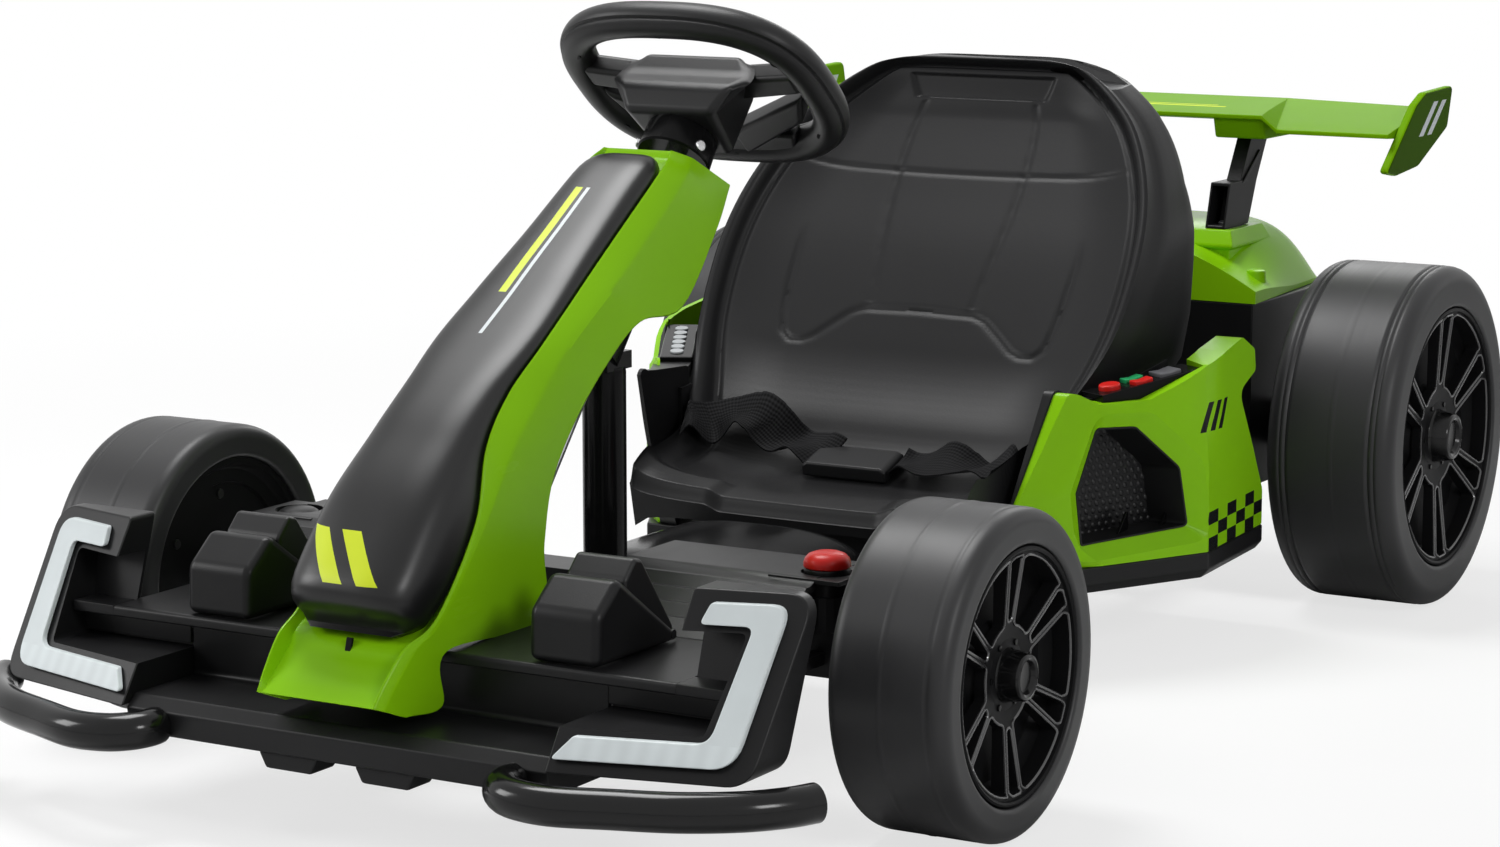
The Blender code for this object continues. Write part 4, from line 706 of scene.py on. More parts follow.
def seat_finish(colours):
    """Blow-moulded seat with a fine pebble grain."""
    paint = Paint("seat plastic", "seat_plastic", 0.15)
    colour = tuple(colours.seat)
    cloud = paint.noise(6.0, 3.0)
    pebble = paint.node("ShaderNodeTexVoronoi", {"feature": "SMOOTH_F1"},
                        {"Vector": paint.place(), "Scale": 620.0})
    paint.set(Base_Color=paint.mix(cloud, scaled(colour, 0.88), scaled(colour, 1.14)),
              Roughness=0.38 + (cloud - 0.5) * 0.08 + (pebble - 0.4) * 0.06)
    paint.bump(pebble, 0.25, 0.00010)
    return paint


def steel_finish(colours):
    """Powder-coated steel with a slight orange peel."""
    paint = Paint("black powder coat", "black_steel")
    cloud = paint.noise(12.0, 3.0)
    peel = paint.noise(380.0, 2.0)
    paint.set(Base_Color=paint.mix(cloud, (0.010, 0.010, 0.011), (0.018, 0.018, 0.019)),
              Roughness=0.34 + (cloud - 0.5) * 0.12)
    paint.bump(peel, 0.30, 0.00014)
    return paint


def zinc_finish(colours):
    """Bright zinc-plated steel with fine turning marks."""
    paint = Paint("bright zinc", "zinc_steel")
    marks = paint.noise(900.0, 2.0, stretch=(1.0, 1.0, 0.05))
    paint.set(Base_Color=paint.mix(marks, (0.50, 0.50, 0.51), (0.66, 0.66, 0.67)),
              Roughness=0.20 + marks * 0.16, Metallic=1.0)
    return paint


def lens_finish(colours):
    """Frosted lamp bar with a painted glow over each light behind its lower arm, and paler towards the
    bottom.
    """
    paint = Paint("frosted lamp", "white_lens", 0.18)
    colour = tuple(colours.lens)
    along, height, _ = paint.uv()
    # Painted glow: a paler stripe over each light in the lower arm.
    glow = ((along * (2.0 * math.pi / 0.0120)).sine() * 0.5 + 0.5) * (height < 0.102)
    cloud = paint.noise(40.0, 3.0)
    # Tone: the painted glow, a random cloud, and paler towards the bottom.
    tone = glow * 0.25 + cloud * 0.4 + (0.19 - height) * 3.0
    paint.set(Base_Color=paint.mix(tone, scaled(colour, 0.92), scaled(colour, 1.22)),
              Roughness=0.24 + (cloud - 0.5) * 0.10)
    return paint


def webbing_finish(colours):
    """Woven belt: ribs along and across it from its UV in metres, with a painted sheen that lightens them."""
    paint = Paint("belt webbing", "belt_webbing", 0.03)
    along, across, _ = paint.uv()
    warp = (across * (2.0 * math.pi / 0.0030)).sine() * 0.5 + 0.5
    weft = (along * (2.0 * math.pi / 0.0024)).sine() * 0.5 + 0.5
    weave = warp * 0.6 + weft * 0.4
    cloud = paint.noise(60.0, 3.0)
    # The colour runs from near black to a lighter grey over the ribs: a painted sheen on the real weave.
    tone = weave * 0.8 + cloud * 0.2
    paint.set(Base_Color=paint.mix(tone, (0.0012, 0.0012, 0.0014), (0.0240, 0.0240, 0.0250)),
              Roughness=0.62 + (cloud - 0.5) * 0.10)
    paint.bump(weave, 0.7, 0.00035)
    return paint


FINISHES = {
    "lime": plain("lime gloss plastic", "lime_plastic", "lime", *LIME_LOOK),
    "satin": plain("satin black plastic", "satin_black_plastic", "satin", 0.36, 1100.0, 0.00014, 0.18),
    "grip": plain("grip black plastic", "satin_black_plastic", "satin", 0.38, 1500.0, 0.00022, 0.26),
    "gloss": plain("gloss black plastic", "gloss_black_plastic", "gloss", 0.18, 500.0, 0.00003, 0.11, 0.06),
    "lacquer": plain("lacquered black", "gloss_black_plastic", "gloss", 0.16, 500.0, 0.00003, 0.26, 0.06),
    # The edges' satin black is lightened 2.2 times as a painted highlight, on top of their high shine.
    "edge": plain("bright black edges", "gloss_black_plastic", "satin", 0.20, 500.0, 0.00003, 0.9, 0.06,
                  painted_light=2.2),
    "core": plain("rim core plastic", "gloss_black_plastic", "satin", 0.42, 900.0, 0.00012, 0.05),
    "red": plain("red plastic", "red_plastic", "red", 0.34, 900.0, 0.00008, 0.25),
    "green": plain("green plastic", "green_plastic", "green", 0.34, 900.0, 0.00008, 0.25),
    "grey": plain("grey plastic", "grey_plastic", (0.13, 0.13, 0.14), 0.40, 900.0, 0.00010),
    "case": plain("battery case", "battery_case", (0.045, 0.045, 0.05), 0.48, 900.0, 0.00014),
    "button": plain("pale button plastic", "grey_plastic", (0.42, 0.44, 0.45), 0.42, 900.0, 0.00008),
    "pod": pod_finish, "wing": wing_finish, "panel": panel_finish, "rubber": rubber_finish,
    "seat": seat_finish, "steel": steel_finish, "zinc": zinc_finish, "lens": lens_finish,
    "webbing": webbing_finish,
}


def repaint(finish_name, *nodes):
    """Give CAD nodes that stay in view their finished material."""
    for node in nodes:
        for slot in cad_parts[node].material_slots:
            slot.material = finish(finish_name)


def softened(name, node, finish_name, body, bevel, segments=3, angle=32.0):
    """A CAD node's own shape with rounded edges."""
    shape = finished(solid_of(node), bevel, segments, angle)
    return publish(name, shape, finish_name, body, [node])


class KartOperator(bpy.types.Operator):
    """Shared by the operators that make the kart's pieces"""
    bl_options = {"REGISTER", "UNDO"}

    def execute(self, context):
        self.make(context.scene.kart_sizes, context)
        return {"FINISHED"}


# Wheels

FRONT_WHEEL = {"place": "front", "axle": (-0.336, 0.109), "radius": 0.109, "rim": 0.085, "outer": 0.361,
               "width": 0.086, "hub": 0.2295, "hub_share": 1.0}
REAR_WHEEL = {"place": "rear", "axle": (0.491, 0.142), "radius": 0.142, "rim": 0.108, "outer": 0.349,
              "width": 0.109, "hub": 0.2165, "hub_share": 1.25}
WHEELS = (FRONT_WHEEL, REAR_WHEEL)
RIM_FACE = 0.003        # how far the rim's face stands behind the tyre's outer side
RIM_BACK = 0.014        # how far the core's back stands in from the tyre's inner side
HUB_FOOT = 0.0205       # radius of the spoke plate's bore at a hub share of 1
TYRE_GROOVES = ((0.0355, 1.0), (0.0405, 0.7))       # place from the middle and share of the groove depth


def tyre_section(wheel, marks):
    """Section of a tyre; marks are (place from the middle, half width, height) rings on its tread."""
    outer = wheel["outer"]
    inner = outer - wheel["width"]
    radius = wheel["radius"]
    bore = wheel["rim"] + 0.0004
    base = rounded([(inner, bore), (outer, bore), (outer, radius), (inner, radius)],
                   (0.004, 0.004, 0.021, 0.021), 20)
    row = []
    for here, there in zip(base, base[1:] + base[:1]):
        parts = 1
        if min(here[1], there[1]) > radius - 0.002 and math.dist(here, there) > 0.004:
            parts = 44
        row += [tuple(a + (b - a) * k / parts for a, b in zip(here, there)) for k in range(parts)]
    middle = 0.5 * (inner + outer)
    made = []
    for x, r in row:
        rise = sum(height * max(0.0, 1.0 - abs((x - middle - at) / half)) for at, half, height in marks)
        made.append((x, r + (rise if r > radius - 0.012 else 0.0)))
    return made


def rim_section(wheel):
    """Section of a rim: lip, barrel, moulded core and hub with a dished cap."""
    outer = wheel["outer"]
    inner = outer - wheel["width"]
    rim = wheel["rim"]
    face = outer - RIM_FACE
    front = face - 0.022
    back = inner + RIM_BACK
    share = wheel["hub_share"]
    return [
        (inner + 0.004, rim), (face - 0.001, rim), (face + 0.0012, rim - 0.0008),
        (face + 0.0018, rim - 0.0022), (face + 0.0010, rim - 0.0036), (face - 0.003, rim - 0.0044),
        (face - 0.012, rim - 0.0060), (front + 0.003, rim - 0.0085), (front, rim - 0.0120),
        (front, 0.034 * share), (front + 0.004, 0.0315 * share), (face - 0.0125, 0.0290 * share),
        (face - 0.0100, 0.0275 * share), (face - 0.0090, 0.0250 * share), (face - 0.0082, 0.0178 * share),
        (face - 0.006, 0.0166 * share), (outer + 0.0020, 0.0154 * share), (outer + 0.0036, 0.0144 * share),
        (outer + 0.0040, 0.0130 * share), (outer + 0.0030, 0.0114 * share), (outer + 0.0002, 0.0102 * share),
        (outer - 0.0006, 0.006 * share), (outer - 0.0006, 0.0),
        (outer - 0.003, 0.0), (outer - 0.003, 0.0068), (wheel["hub"], 0.0068), (wheel["hub"], 0.0112),
        (back - 0.004, 0.0120), (back, 0.020 * share), (back, rim - 0.020), (back - 0.003, rim - 0.0185),
        (back - 0.003, rim - 0.0090), (inner + 0.008, rim - 0.0065), (inner + 0.004, rim - 0.0045),
    ]


def cap_section(wheel):
    """Section of the gloss skin over the hub's dished cap."""
    outer = wheel["outer"]
    share = wheel["hub_share"]
    return [
        (outer - 0.0026, 0.0), (outer - 0.0026, 0.0074), (outer - 0.0110, 0.0074),
        (outer - 0.0110, 0.0182 * share), (outer - 0.0087, 0.0172 * share),
        (outer + 0.0022, 0.0158 * share), (outer + 0.0039, 0.0147 * share), (outer + 0.0044, 0.0130 * share),
        (outer + 0.0034, 0.0113 * share), (outer + 0.0006, 0.0101 * share), (outer - 0.0002, 0.0060 * share),
        (outer - 0.0002, 0.0),
    ]


class KART_OT_tyres(KartOperator):
    """Foam tyres: slick fronts with a mould line, rears with shoulder grooves"""
    bl_idname = "kart.tyres"
    bl_label = "Tyres"

    def make(self, sizes, context):
        seam = sizes.seam_height
        groove = -sizes.groove_depth
        grooves = [(way * at, 0.0016, groove * depth) for way in (-1, 1) for at, depth in TYRE_GROOVES]
        marks = {
            "front": [(-0.004, 0.0014, seam), (0.029, 0.0012, -seam)],
            "rear": grooves + [(0.003, 0.0012, seam)],
        }
        for wheel in WHEELS:
            place = wheel["place"]
            for side, word, tag in SIDES:
                shape = sided(lathe(tyre_section(wheel, marks[place]), 96, wheel["axle"]), side)
                publish(f"{place}_tyre_{word}", shape, "rubber", f"{place}_wheel_{tag}",
                        [f"{place}_tyre_{tag}"], 50.0)


def plate_line(wheel):
    """(radius, x) line of the spoke plate's front, from the hub's foot to the rim."""
    face = wheel["outer"] - RIM_FACE
    return ((HUB_FOOT * wheel["hub_share"] + 0.0035, face - 0.0086), (wheel["rim"] - 0.0090, face - 0.0030),
            (wheel["rim"] - 0.0065, face - 0.0010))


def spoke_outlines(wheel, width, pairs):
    """The two holes of one spoke pair: the window beside it and the slot in it."""
    scale = wheel["rim"] / FRONT_WHEEL["rim"]
    far = wheel["rim"] - 0.0072
    near = 0.0335 * wheel["hub_share"]
    slot_near = 0.0028 * scale
    slot_far = 0.0074 * scale
    step = 2.0 * math.pi / pairs
    turn_out = math.asin((slot_far + width * scale) / far)
    turn_in = math.asin((slot_near + width * scale) / near)
    arc = [(far, turn_out + (step - 2.0 * turn_out) * k / 8.0) for k in range(9)]
    arc += [(near, step - turn_in - (step - 2.0 * turn_in) * k / 3.0) for k in range(4)]
    corners = [0.0050 * scale if k in (0, 8) else 0.0065 * scale if k in (9, 12) else 0.0 for k in range(13)]
    window = rounded([(r * math.sin(a), r * math.cos(a)) for r, a in arc], corners, 6)
    foot = near + 0.0025
    slot = rounded([(-slot_near, foot), (slot_near, foot), (slot_far, far), (-slot_far, far)],
                   (slot_near, slot_near, 0.0032 * scale, 0.0032 * scale), 5)
    return window, slot


class KART_OT_rims(KartOperator):
    """Rims with paired spokes and a dished hub cap"""
    bl_idname = "kart.rims"
    bl_label = "Rims"

    def make(self, sizes, context):
        for wheel in WHEELS:
            place = wheel["place"]
            for side, word, tag in SIDES:
                body = f"{place}_wheel_{tag}"
                rim = sided(lathe(rim_section(wheel), 80, wheel["axle"]), side)
                publish(f"{place}_rim_{word}", rim, "core", body, [f"{place}_rim_{tag}"], 34.0)
                outlines = spoke_outlines(wheel, sizes.spoke_width, sizes.spoke_pairs)
                plate = sided(self.plate(wheel, sizes, outlines), side)
                publish(f"{place}_spokes_{word}", plate, "core", body)
                self.ridges(wheel, side, word, body, sizes, outlines)
                cap = sided(lathe(cap_section(wheel), 48, wheel["axle"]), side)
                publish(f"{place}_hub_cap_{word}", cap, "lacquer", body, crease=34.0)
                self.bolts(wheel, side, word, body, sizes)
                self.screws(wheel, side, word, body)

    def plate(self, wheel, sizes, outlines):
        """The rim's face: a shallow cone with a window beside each spoke pair and a slot within it."""
        rim = wheel["rim"]
        outer = wheel["outer"]
        face = outer - RIM_FACE
        foot = HUB_FOOT * wheel["hub_share"]
        section = [(face - 0.0160, foot), (face - 0.0100, foot)]
        section += [(x, r) for r, x in plate_line(wheel)]
        section += [(face - 0.0010, rim - 0.0035), (face - 0.0130, rim - 0.0035)]
        tools = merged(*(prism(outline, "x", outer - 0.04, outer + 0.02) for outline in outlines))
        holes = round_axle("holes", tools, sizes.spoke_pairs, wheel["axle"], "gloss")
        return finished(cut(lathe(section, 96, wheel["axle"]), shape_of(holes)), 0.0011, 3, 40.0)

    def ridges(self, wheel, side, word, body, sizes, outlines):
        """Raised round edges along the windows and slots."""
        cone = plate_line(wheel)
        loops = []
        for outline in outlines:
            line = [(between(cone, math.hypot(y, z)) - 0.0002, y, z) for y, z in spread(outline, 0.0009)]
            loops.append(shape_of(tube("ridge", line, 0.0011, 8, "edge", closed=True)))
        name = f"{wheel['place']}_spoke_edges_{word}"
        self.around(wheel, name, sided(merged(*loops), side), sizes.spoke_pairs, "edge", body)

    def bolts(self, wheel, side, word, body, sizes):
        """Small bolts on the hub's flange, between the spoke pairs."""
        face = wheel["outer"] - RIM_FACE
        away = 0.0225 * wheel["hub_share"]
        half_step = math.pi / sizes.spoke_pairs
        place = (away * math.sin(half_step), away * math.cos(half_step))
        bolt = bar((face - 0.014, *place), (face - 0.0074, *place), 0.0022, 12)
        bolt = sided(finished(bolt, 0.0007, 2), side)
        self.around(wheel, f"{wheel['place']}_hub_bolts_{word}", bolt, sizes.spoke_pairs, "gloss", body)

    def screws(self, wheel, side, word, body):
        """Screw bosses round the core's inner face."""
        back = wheel["outer"] - wheel["width"] + RIM_BACK
        away = wheel["rim"] - 0.027
        boss = finished(bar((back - 0.0016, 0.0, away), (back + 0.003, 0.0, away), 0.0036, 14), 0.0006, 2)
        self.around(wheel, f"{wheel['place']}_core_screws_{word}", sided(boss, side), 6, "steel", body)

    def around(self, wheel, name, shape, count, finish_name, body):
        """Copies of a shape round the wheel's axle, as one piece."""
        dress(round_axle(name, shape, count, wheel["axle"], finish_name), finish_name, body)


# Frame and front end

def turned(profile, centre, sides=40):
    """Turn (radius, height) pairs about an upright axis; the ends are closed."""
    return skin([[(centre[0] + radius * c, centre[1] + radius * s, height) for c, s in circle(sides)]
                 for radius, height in profile])


CAP_PROFILE = ((0.0152, 0.1660), (0.0158, 0.1666), (0.0158, 0.1690), (0.0148, 0.1720), (0.0125, 0.1745),
               (0.0085, 0.1760), (0.0030, 0.1765))
LOW_CAP_PROFILE = ((0.0150, 0.1483), (0.0150, 0.1590), (0.0140, 0.1615), (0.0110, 0.1632), (0.0030, 0.1638))
COLLAR_PROFILE = ((0.0155, 0.1483), (0.0155, 0.1640), (0.0148, 0.1655), (0.0060, 0.1662))
KINGPIN_X = 0.217
# The battery's hood: y, fall of the crown and narrowing of the sides
HOOD_ROWS = (
    (-0.2105, 0.030, 0.010), (-0.2095, 0.020, 0.004), (-0.205, 0.010, 0.0), (-0.195, 0.003, 0.0),
    (-0.180, 0.0, 0.0), (-0.060, 0.0, 0.0), (-0.042, 0.004, 0.0), (-0.032, 0.012, 0.002),
    (-0.026, 0.022, 0.006), (-0.0245, 0.032, 0.012),
)
HOOD_HALF = 0.0868
HOOD_TOP = 0.127
HOOD_BASE = 0.074
HOOD_ROUND = 0.030
POST_PLACE = (0.0, -0.268)
POST_PROFILE = ((0.0265, 0.0918), (0.0270, 0.0924), (0.0270, 0.0964), (0.0262, 0.0972), (0.0168, 0.0976),
                (0.0158, 0.0990), (0.0155, 0.1020), (0.0155, 0.2700), (0.0150, 0.2735))
FOOT_BOLT_CIRCLE = 0.0215


class KART_OT_chassis(KartOperator):
    """Frame, axles, linkage, drive, battery and steering post, with the kingpin caps"""
    bl_idname = "kart.chassis"
    bl_label = "Chassis"

    def make(self, sizes, context):
        repaint("steel", "main_frame", "front_axle_beam", "steering_knuckle_l", "steering_knuckle_r")
        repaint("zinc", "tie_bar", "rear_axle", "steering_shaft")
        repaint("grip", "drive_unit_l", "drive_unit_r")
        repaint("case", "battery")
        caps = {"left": (CAP_PROFILE, "red"), "right": (LOW_CAP_PROFILE, "satin")}
        for side, word, tag in SIDES:
            profile, colour = caps[word]
            place = (side * KINGPIN_X, FRONT_WHEEL["axle"][0])
            publish(f"kingpin_cover_{word}", turned(profile, place), colour, f"knuckle_{tag}",
                    [f"kingpin_cap_{tag}"])
        collar = turned(COLLAR_PROFILE, (KINGPIN_X, FRONT_WHEEL["axle"][0]))
        publish("kingpin_collar", collar, "satin", "knuckle_l")
        self.hood()
        self.post()

    def hood(self):
        """Smooth round-topped cover over the battery."""
        rings = []
        for y, drop, narrow in HOOD_ROWS:
            half = HOOD_HALF - narrow
            top = HOOD_TOP - drop
            crown = [(-half * a, y, top - HOOD_ROUND + HOOD_ROUND * b) for a, b in arch(32, 0.8, 0.8)]
            rings.append([(-half, y, HOOD_BASE)] + crown + [(half, y, HOOD_BASE)])
        publish("battery_hood", skin(rings), "gloss", "chassis", ["battery_cover"], 50.0)

    def post(self):
        """Round steering post with a bolted foot, under its bearing head."""
        head = cut(solid_of("steering_post"), block((-0.1, -0.4, 0.0), (0.1, -0.1, 0.272)))
        column = turned(POST_PROFILE, POST_PLACE)
        publish("steering_column_post", merged(finished(head, 0.0020, 2), column), "gloss", "chassis",
                ["steering_post"])
        bolt = finished(bar((0.0, 0.0, -0.001), (0.0, 0.0, 0.0040), 0.0046, 6), 0.0006, 2)
        spots = []
        for k in range(4):
            turn = math.radians(-50.0 + 90.0 * k)
            spots.append(((FOOT_BOLT_CIRCLE * math.cos(turn),
                           POST_PLACE[1] + FOOT_BOLT_CIRCLE * math.sin(turn), 0.0968), (0.0, 0.0, 1.0)))
        on_spots("post_foot_bolts", spots, bolt, "zinc", "chassis")


# Nose

# y and z of the upper edge, y and z of the lower edge, half width, crown of the panel, half width of the
# lips and their lift
NOSE_ROWS = (
    (-0.222, 0.422, -0.156, 0.392, 0.0375, 0.0000, 0.0270, 0.000),
    (-0.243, 0.410, -0.186, 0.362, 0.0435, 0.0095, 0.0315, 0.000),
    (-0.314, 0.364, -0.240, 0.315, 0.0485, 0.0115, 0.0352, 0.002),
    (-0.360, 0.334, -0.300, 0.312, 0.0515, 0.0140, 0.0388, 0.005),
    (-0.401, 0.306, -0.345, 0.288, 0.0530, 0.0175, 0.0412, 0.008),
    (-0.437, 0.278, -0.385, 0.255, 0.0535, 0.0215, 0.0396, 0.009),
    (-0.472, 0.249, -0.413, 0.220, 0.0540, 0.0245, 0.0424, 0.004),
    (-0.517, 0.211, -0.425, 0.180, 0.0550, 0.0270, 0.0505, -0.017),
    (-0.566, 0.158, -0.432, 0.1295, 0.0550, 0.0220, 0.0520, -0.020),
    (-0.583, 0.140, -0.5355, 0.1295, 0.0535, 0.0, 0.0480, -0.006),
    (-0.599, 0.122, -0.5375, 0.094, 0.0510, 0.0, 0.0455, -0.004),
    (-0.606, 0.106, -0.575, 0.094, 0.0495, 0.0, 0.0440, 0.000),
)
NOSE_STEPS = 9
# Depth of the channel's floor below the lips at a step of the nose
NOSE_DEPTHS = ((0.0, 0.0006), (4.0, 0.0035), (66.0, 0.0035), (74.0, 0.0110), (84.0, 0.0120), (93.0, 0.0050),
               (99.0, 0.0008))
NOSE_SLOT = 83          # step of the nose where the small slot lies
# The panel's chin: step of the nose, shares of its width and crown, reach below the seam
CHIN = ((73, 0.93, 0.58, 0.004), (74, 0.88, 0.36, 0.008), (76, 0.78, 0.14, 0.011), (78, 0.66, 0.02, 0.012))


def nose_frame(row):
    """Upper point, way down the side and length of the side, of one row of the nose."""
    upper = Vector((0.0, row[0], row[1]))
    fall = Vector((0.0, row[2], row[3])) - upper
    return upper, fall.normalized(), fall.length


def cowl_ring(row, depth, wall=0.004):
    """One section of the cowl: a channel with a sunk floor between two chamfered lips, open below."""
    upper, down, fall = nose_frame(row)
    half = row[4]
    edge = row[6]
    top = -row[7]
    drop = min(1.25 * (half - edge), 0.45 * fall)
    outside = [(edge - 0.008, top + depth), (edge - 0.0016, top + depth), (edge - 0.0006, top + depth * 0.4),
               (edge + 0.0002, top - 0.0002), (edge + 0.0008, top - 0.0006), (edge + 0.0018, top)]
    for k in range(6):
        t = k / 5.0
        outside.append((edge + 0.0024 + (half - edge - 0.0024) * (1.0 - (1.0 - t) ** 1.25),
                        top + 0.0009 + drop * t))
    outside += [(half, 0.5 * (top + drop + fall)), (half, fall - 0.003), (half - 0.0012, fall - 0.0006),
                (half - wall * 0.5, fall)]
    inside = [(half - wall, fall - 0.001), (half - wall, 0.5 * (top + drop + fall) + 0.001),
              (half - wall, top + drop + wall), (edge - 0.003, top + depth + wall + 0.002),
              (edge - 0.012, top + depth + wall)]
    right = outside + inside
    ring = [(x, d) for x, d in right] + [(-x, d) for x, d in reversed(right)]
    return [upper + down * d + Vector((x, 0.0, 0.0)) for x, d in ring]


def cover_ring(row, wide, high, reach=0.003):
    """One section of the crowned nose panel, from its seam on the lip over the crown."""
    upper, down, _ = nose_frame(row)
    half = (row[6] - 0.0012) * wide
    seam = row[7] - 0.0008
    crown = (row[5] - row[7] + 0.0030) * high
    spots = [(across, seam + crown * rise) for across, rise in arch(40, 0.55, 0.62)]
    spots += [(-0.96, seam - reach), (0.96, seam - reach)]
    return [upper - down * rise + Vector((half * across, 0.0, 0.0)) for across, rise in spots]


class KART_OT_nose(KartOperator):
    """Lime nose channel, its black crowned panel and the printed stripes"""
    bl_idname = "kart.nose"
    bl_label = "Nose"

    def make(self, sizes, context):
        rows = through(NOSE_ROWS, NOSE_STEPS)
        shape = skin([cowl_ring(row, between(NOSE_DEPTHS, k)) for k, row in enumerate(rows)])
        publish("nose_cowl_moulding", shape, "lime", "chassis", ["nose_cowl"], 28.0)
        # A near-flush black block stands for the slot hole: painted shade in place of a hollow.
        upper, down, _ = nose_frame(rows[NOSE_SLOT])
        slot = finished(block((-0.0022, -0.0080, -0.0020), (0.0022, 0.0080, 0.0004)), 0.0003, 1)
        spots = [(upper + down * (between(NOSE_DEPTHS, NOSE_SLOT) - rows[NOSE_SLOT][7]), -down)]
        on_spots("nose_slot", spots, slot, "core", "chassis")
        self.panel(rows)

    def panel(self, rows):
        """Crowned panel with a rounded top end and a chin that tucks under its front edge."""
        first = 6
        last = 72
        rings = []
        for k in range(first, last + 1):
            start = 1.0 - max(0.0, 1.0 - (k - first) / 5.0) ** 2.2 * 0.30
            end = 1.0 - max(0.0, 1.0 - (last - k) / 5.0) ** 2.2 * 0.05
            low = 1.0 - max(0.0, 1.0 - (last - k) / 3.0) ** 2.2 * 0.22
            rings.append(cover_ring(rows[k], start * end, min(start, low)))
        for k, wide, high, reach in CHIN:
            rings.append(cover_ring(rows[k], wide, high, reach))
        publish("nose_panel", skin(rings), "panel", "chassis", ["nose_cover"], 42.0)


# Deck and pedals

PEDAL_PLACE = (0.1365, -0.440, 0.1347)
TOE_HALF = 0.0265
TOE_WALL = 0.003
PEDAL_PLAY = 0.0009
# Side views from the pedal's pivot and the deck
TOE_SIDE = ((-0.091, 0.0), (-0.090, 0.0335), (-0.064, 0.054), (0.014, 0.0))
TOE_HOLLOW = ((-0.087, -0.02), (-0.087, 0.032), (-0.0635, 0.0505), (0.02, 0.111), (0.14, -0.02))
PEDAL_SIDE = ((-0.003, 0.0012), (-0.055, 0.023), (-0.052, 0.050), (-0.040, 0.062), (-0.032, 0.060),
              (0.006, 0.0097), (0.003, 0.0012))
DECK_TOP = 0.129
DECK_UNDER = 0.1215
DECK_FRONT = -0.535
DECK_REAR = -0.4245
# Side view of the shelf's front wall and lip, with the radii of its corners
LIP_SIDE = ((-0.522, 0.123), (-0.522, 0.086), (-0.5835, 0.086), (-0.592, 0.078), (-0.589, 0.061),
            (-0.518, 0.061), (-0.518, 0.123))
LIP_CORNERS = (0.0, 0.004, 0.004, 0.003, 0.003, 0.0, 0.0)
LIP_BLOCK = ((0.014, 0.0612), (0.062, 0.0612), (0.056, 0.050), (0.020, 0.050))


def pedal_pin(half, radius):
    """The cross pin of a left-hand pedal, or the bore for it."""
    x, y, z = PEDAL_PLACE
    return bar((x - half, y, z), (x + half, y, z), radius, 20)


def beside_pivot(points):
    """A side view given from the pedal's pivot and the deck."""
    return [(PEDAL_PLACE[1] + y, DECK_TOP + 0.0003 + z) for y, z in points]


class KART_OT_deck(KartOperator):
    """Foot shelf, heel slopes, toe boxes and pedals"""
    bl_idname = "kart.deck"
    bl_label = "Deck and pedals"

    def make(self, sizes, context):
        self.shelf()
        pedals = {"left": ("brake_pedal", "brake"), "right": ("accelerator_pedal", "accelerator")}
        for side, word, tag in SIDES:
            softened(f"heel_slope_{word}", f"foot_tray_{tag}", "grip", "chassis", 0.0014)
            self.toe_box(side, word, tag)
            self.pedal(side, *pedals[word])

    def shelf(self):
        """Shelf with a rounded front edge, its front wall, the lip and the blocks under the lip."""
        board = rounded([(DECK_FRONT, DECK_UNDER), (DECK_FRONT, DECK_TOP), (DECK_REAR, DECK_TOP),
                         (DECK_REAR, DECK_UNDER)], (0.0015, 0.0050, 0.001, 0.001), 5)
        notch = block((-0.016, -0.442, 0.10), (0.016, -0.40, 0.14))
        parts = [finished(cut(prism(board, "x", -0.222, 0.222), notch), 0.0015, 2, 60.0)]
        lip = rounded(LIP_SIDE, LIP_CORNERS, 4)
        parts.append(finished(prism(lip, "x", -0.165, 0.165), 0.0012, 2, 60.0))
        for side in (1, -1):
            wing = block((0.2215, DECK_FRONT, DECK_UNDER), (0.2575, -0.512, DECK_TOP))
            parts.append(sided(finished(wing, 0.0012, 2), side))
            apron = block((0.1655, -0.5235, 0.1065), (0.2575, -0.5195, 0.122))
            parts.append(sided(finished(apron, 0.0012, 2), side))
            leg = block((0.090, -0.512, 0.0915), (0.110, -0.490, 0.123))
            parts.append(sided(leg, side))
            parts.append(sided(finished(prism(LIP_BLOCK, "y", -0.586, -0.560), 0.002, 2), side))
        publish("foot_shelf", merged(*parts), "satin", "chassis", ["front_deck"])

    def toe_box(self, side, word, tag):
        """Hollow box with a bore for the pedal's pin."""
        x = PEDAL_PLACE[0]
        inner = TOE_HALF - TOE_WALL
        shell = finished(prism(beside_pivot(TOE_SIDE), "x", x - TOE_HALF, x + TOE_HALF), 0.0062, 5, 25.0)
        hollow = prism(beside_pivot(TOE_HOLLOW), "x", x - inner, x + inner)
        box = cut(shell, hollow, pedal_pin(0.04, 0.0034))
        publish(f"toe_shell_{word}", sided(box, side), "satin", "chassis", [f"toe_box_{tag}"])

    def pedal(self, side, node, body):
        """Wedge with a ribbed foot face on its cross pin."""
        x = PEDAL_PLACE[0]
        half = TOE_HALF - TOE_WALL - PEDAL_PLAY
        wedge = finished(prism(beside_pivot(PEDAL_SIDE), "x", x - half, x + half), 0.0032, 4, 20.0)
        pad = merged(wedge, pedal_pin(TOE_HALF - 0.0003, 0.003))
        publish(f"{body}_pad", sided(pad, side), "grip", body, [node])
        foot = Vector((0.0, 0.0373, -0.0500)).normalized()
        out = Vector((0.0, 0.0500, 0.0373)).normalized()
        start = Vector((side * x, PEDAL_PLACE[1] - 0.032, DECK_TOP + 0.060))
        spots = [(start + foot * (0.010 + 0.0075 * k), out) for k in range(6)]
        rib = finished(block((-half + 0.004, -0.0014, -0.001), (half - 0.004, 0.0014, 0.0009)), 0.0006, 2)
        on_spots(f"{body}_ribs", spots, rib, "grip", body)


# Lamps and bumpers

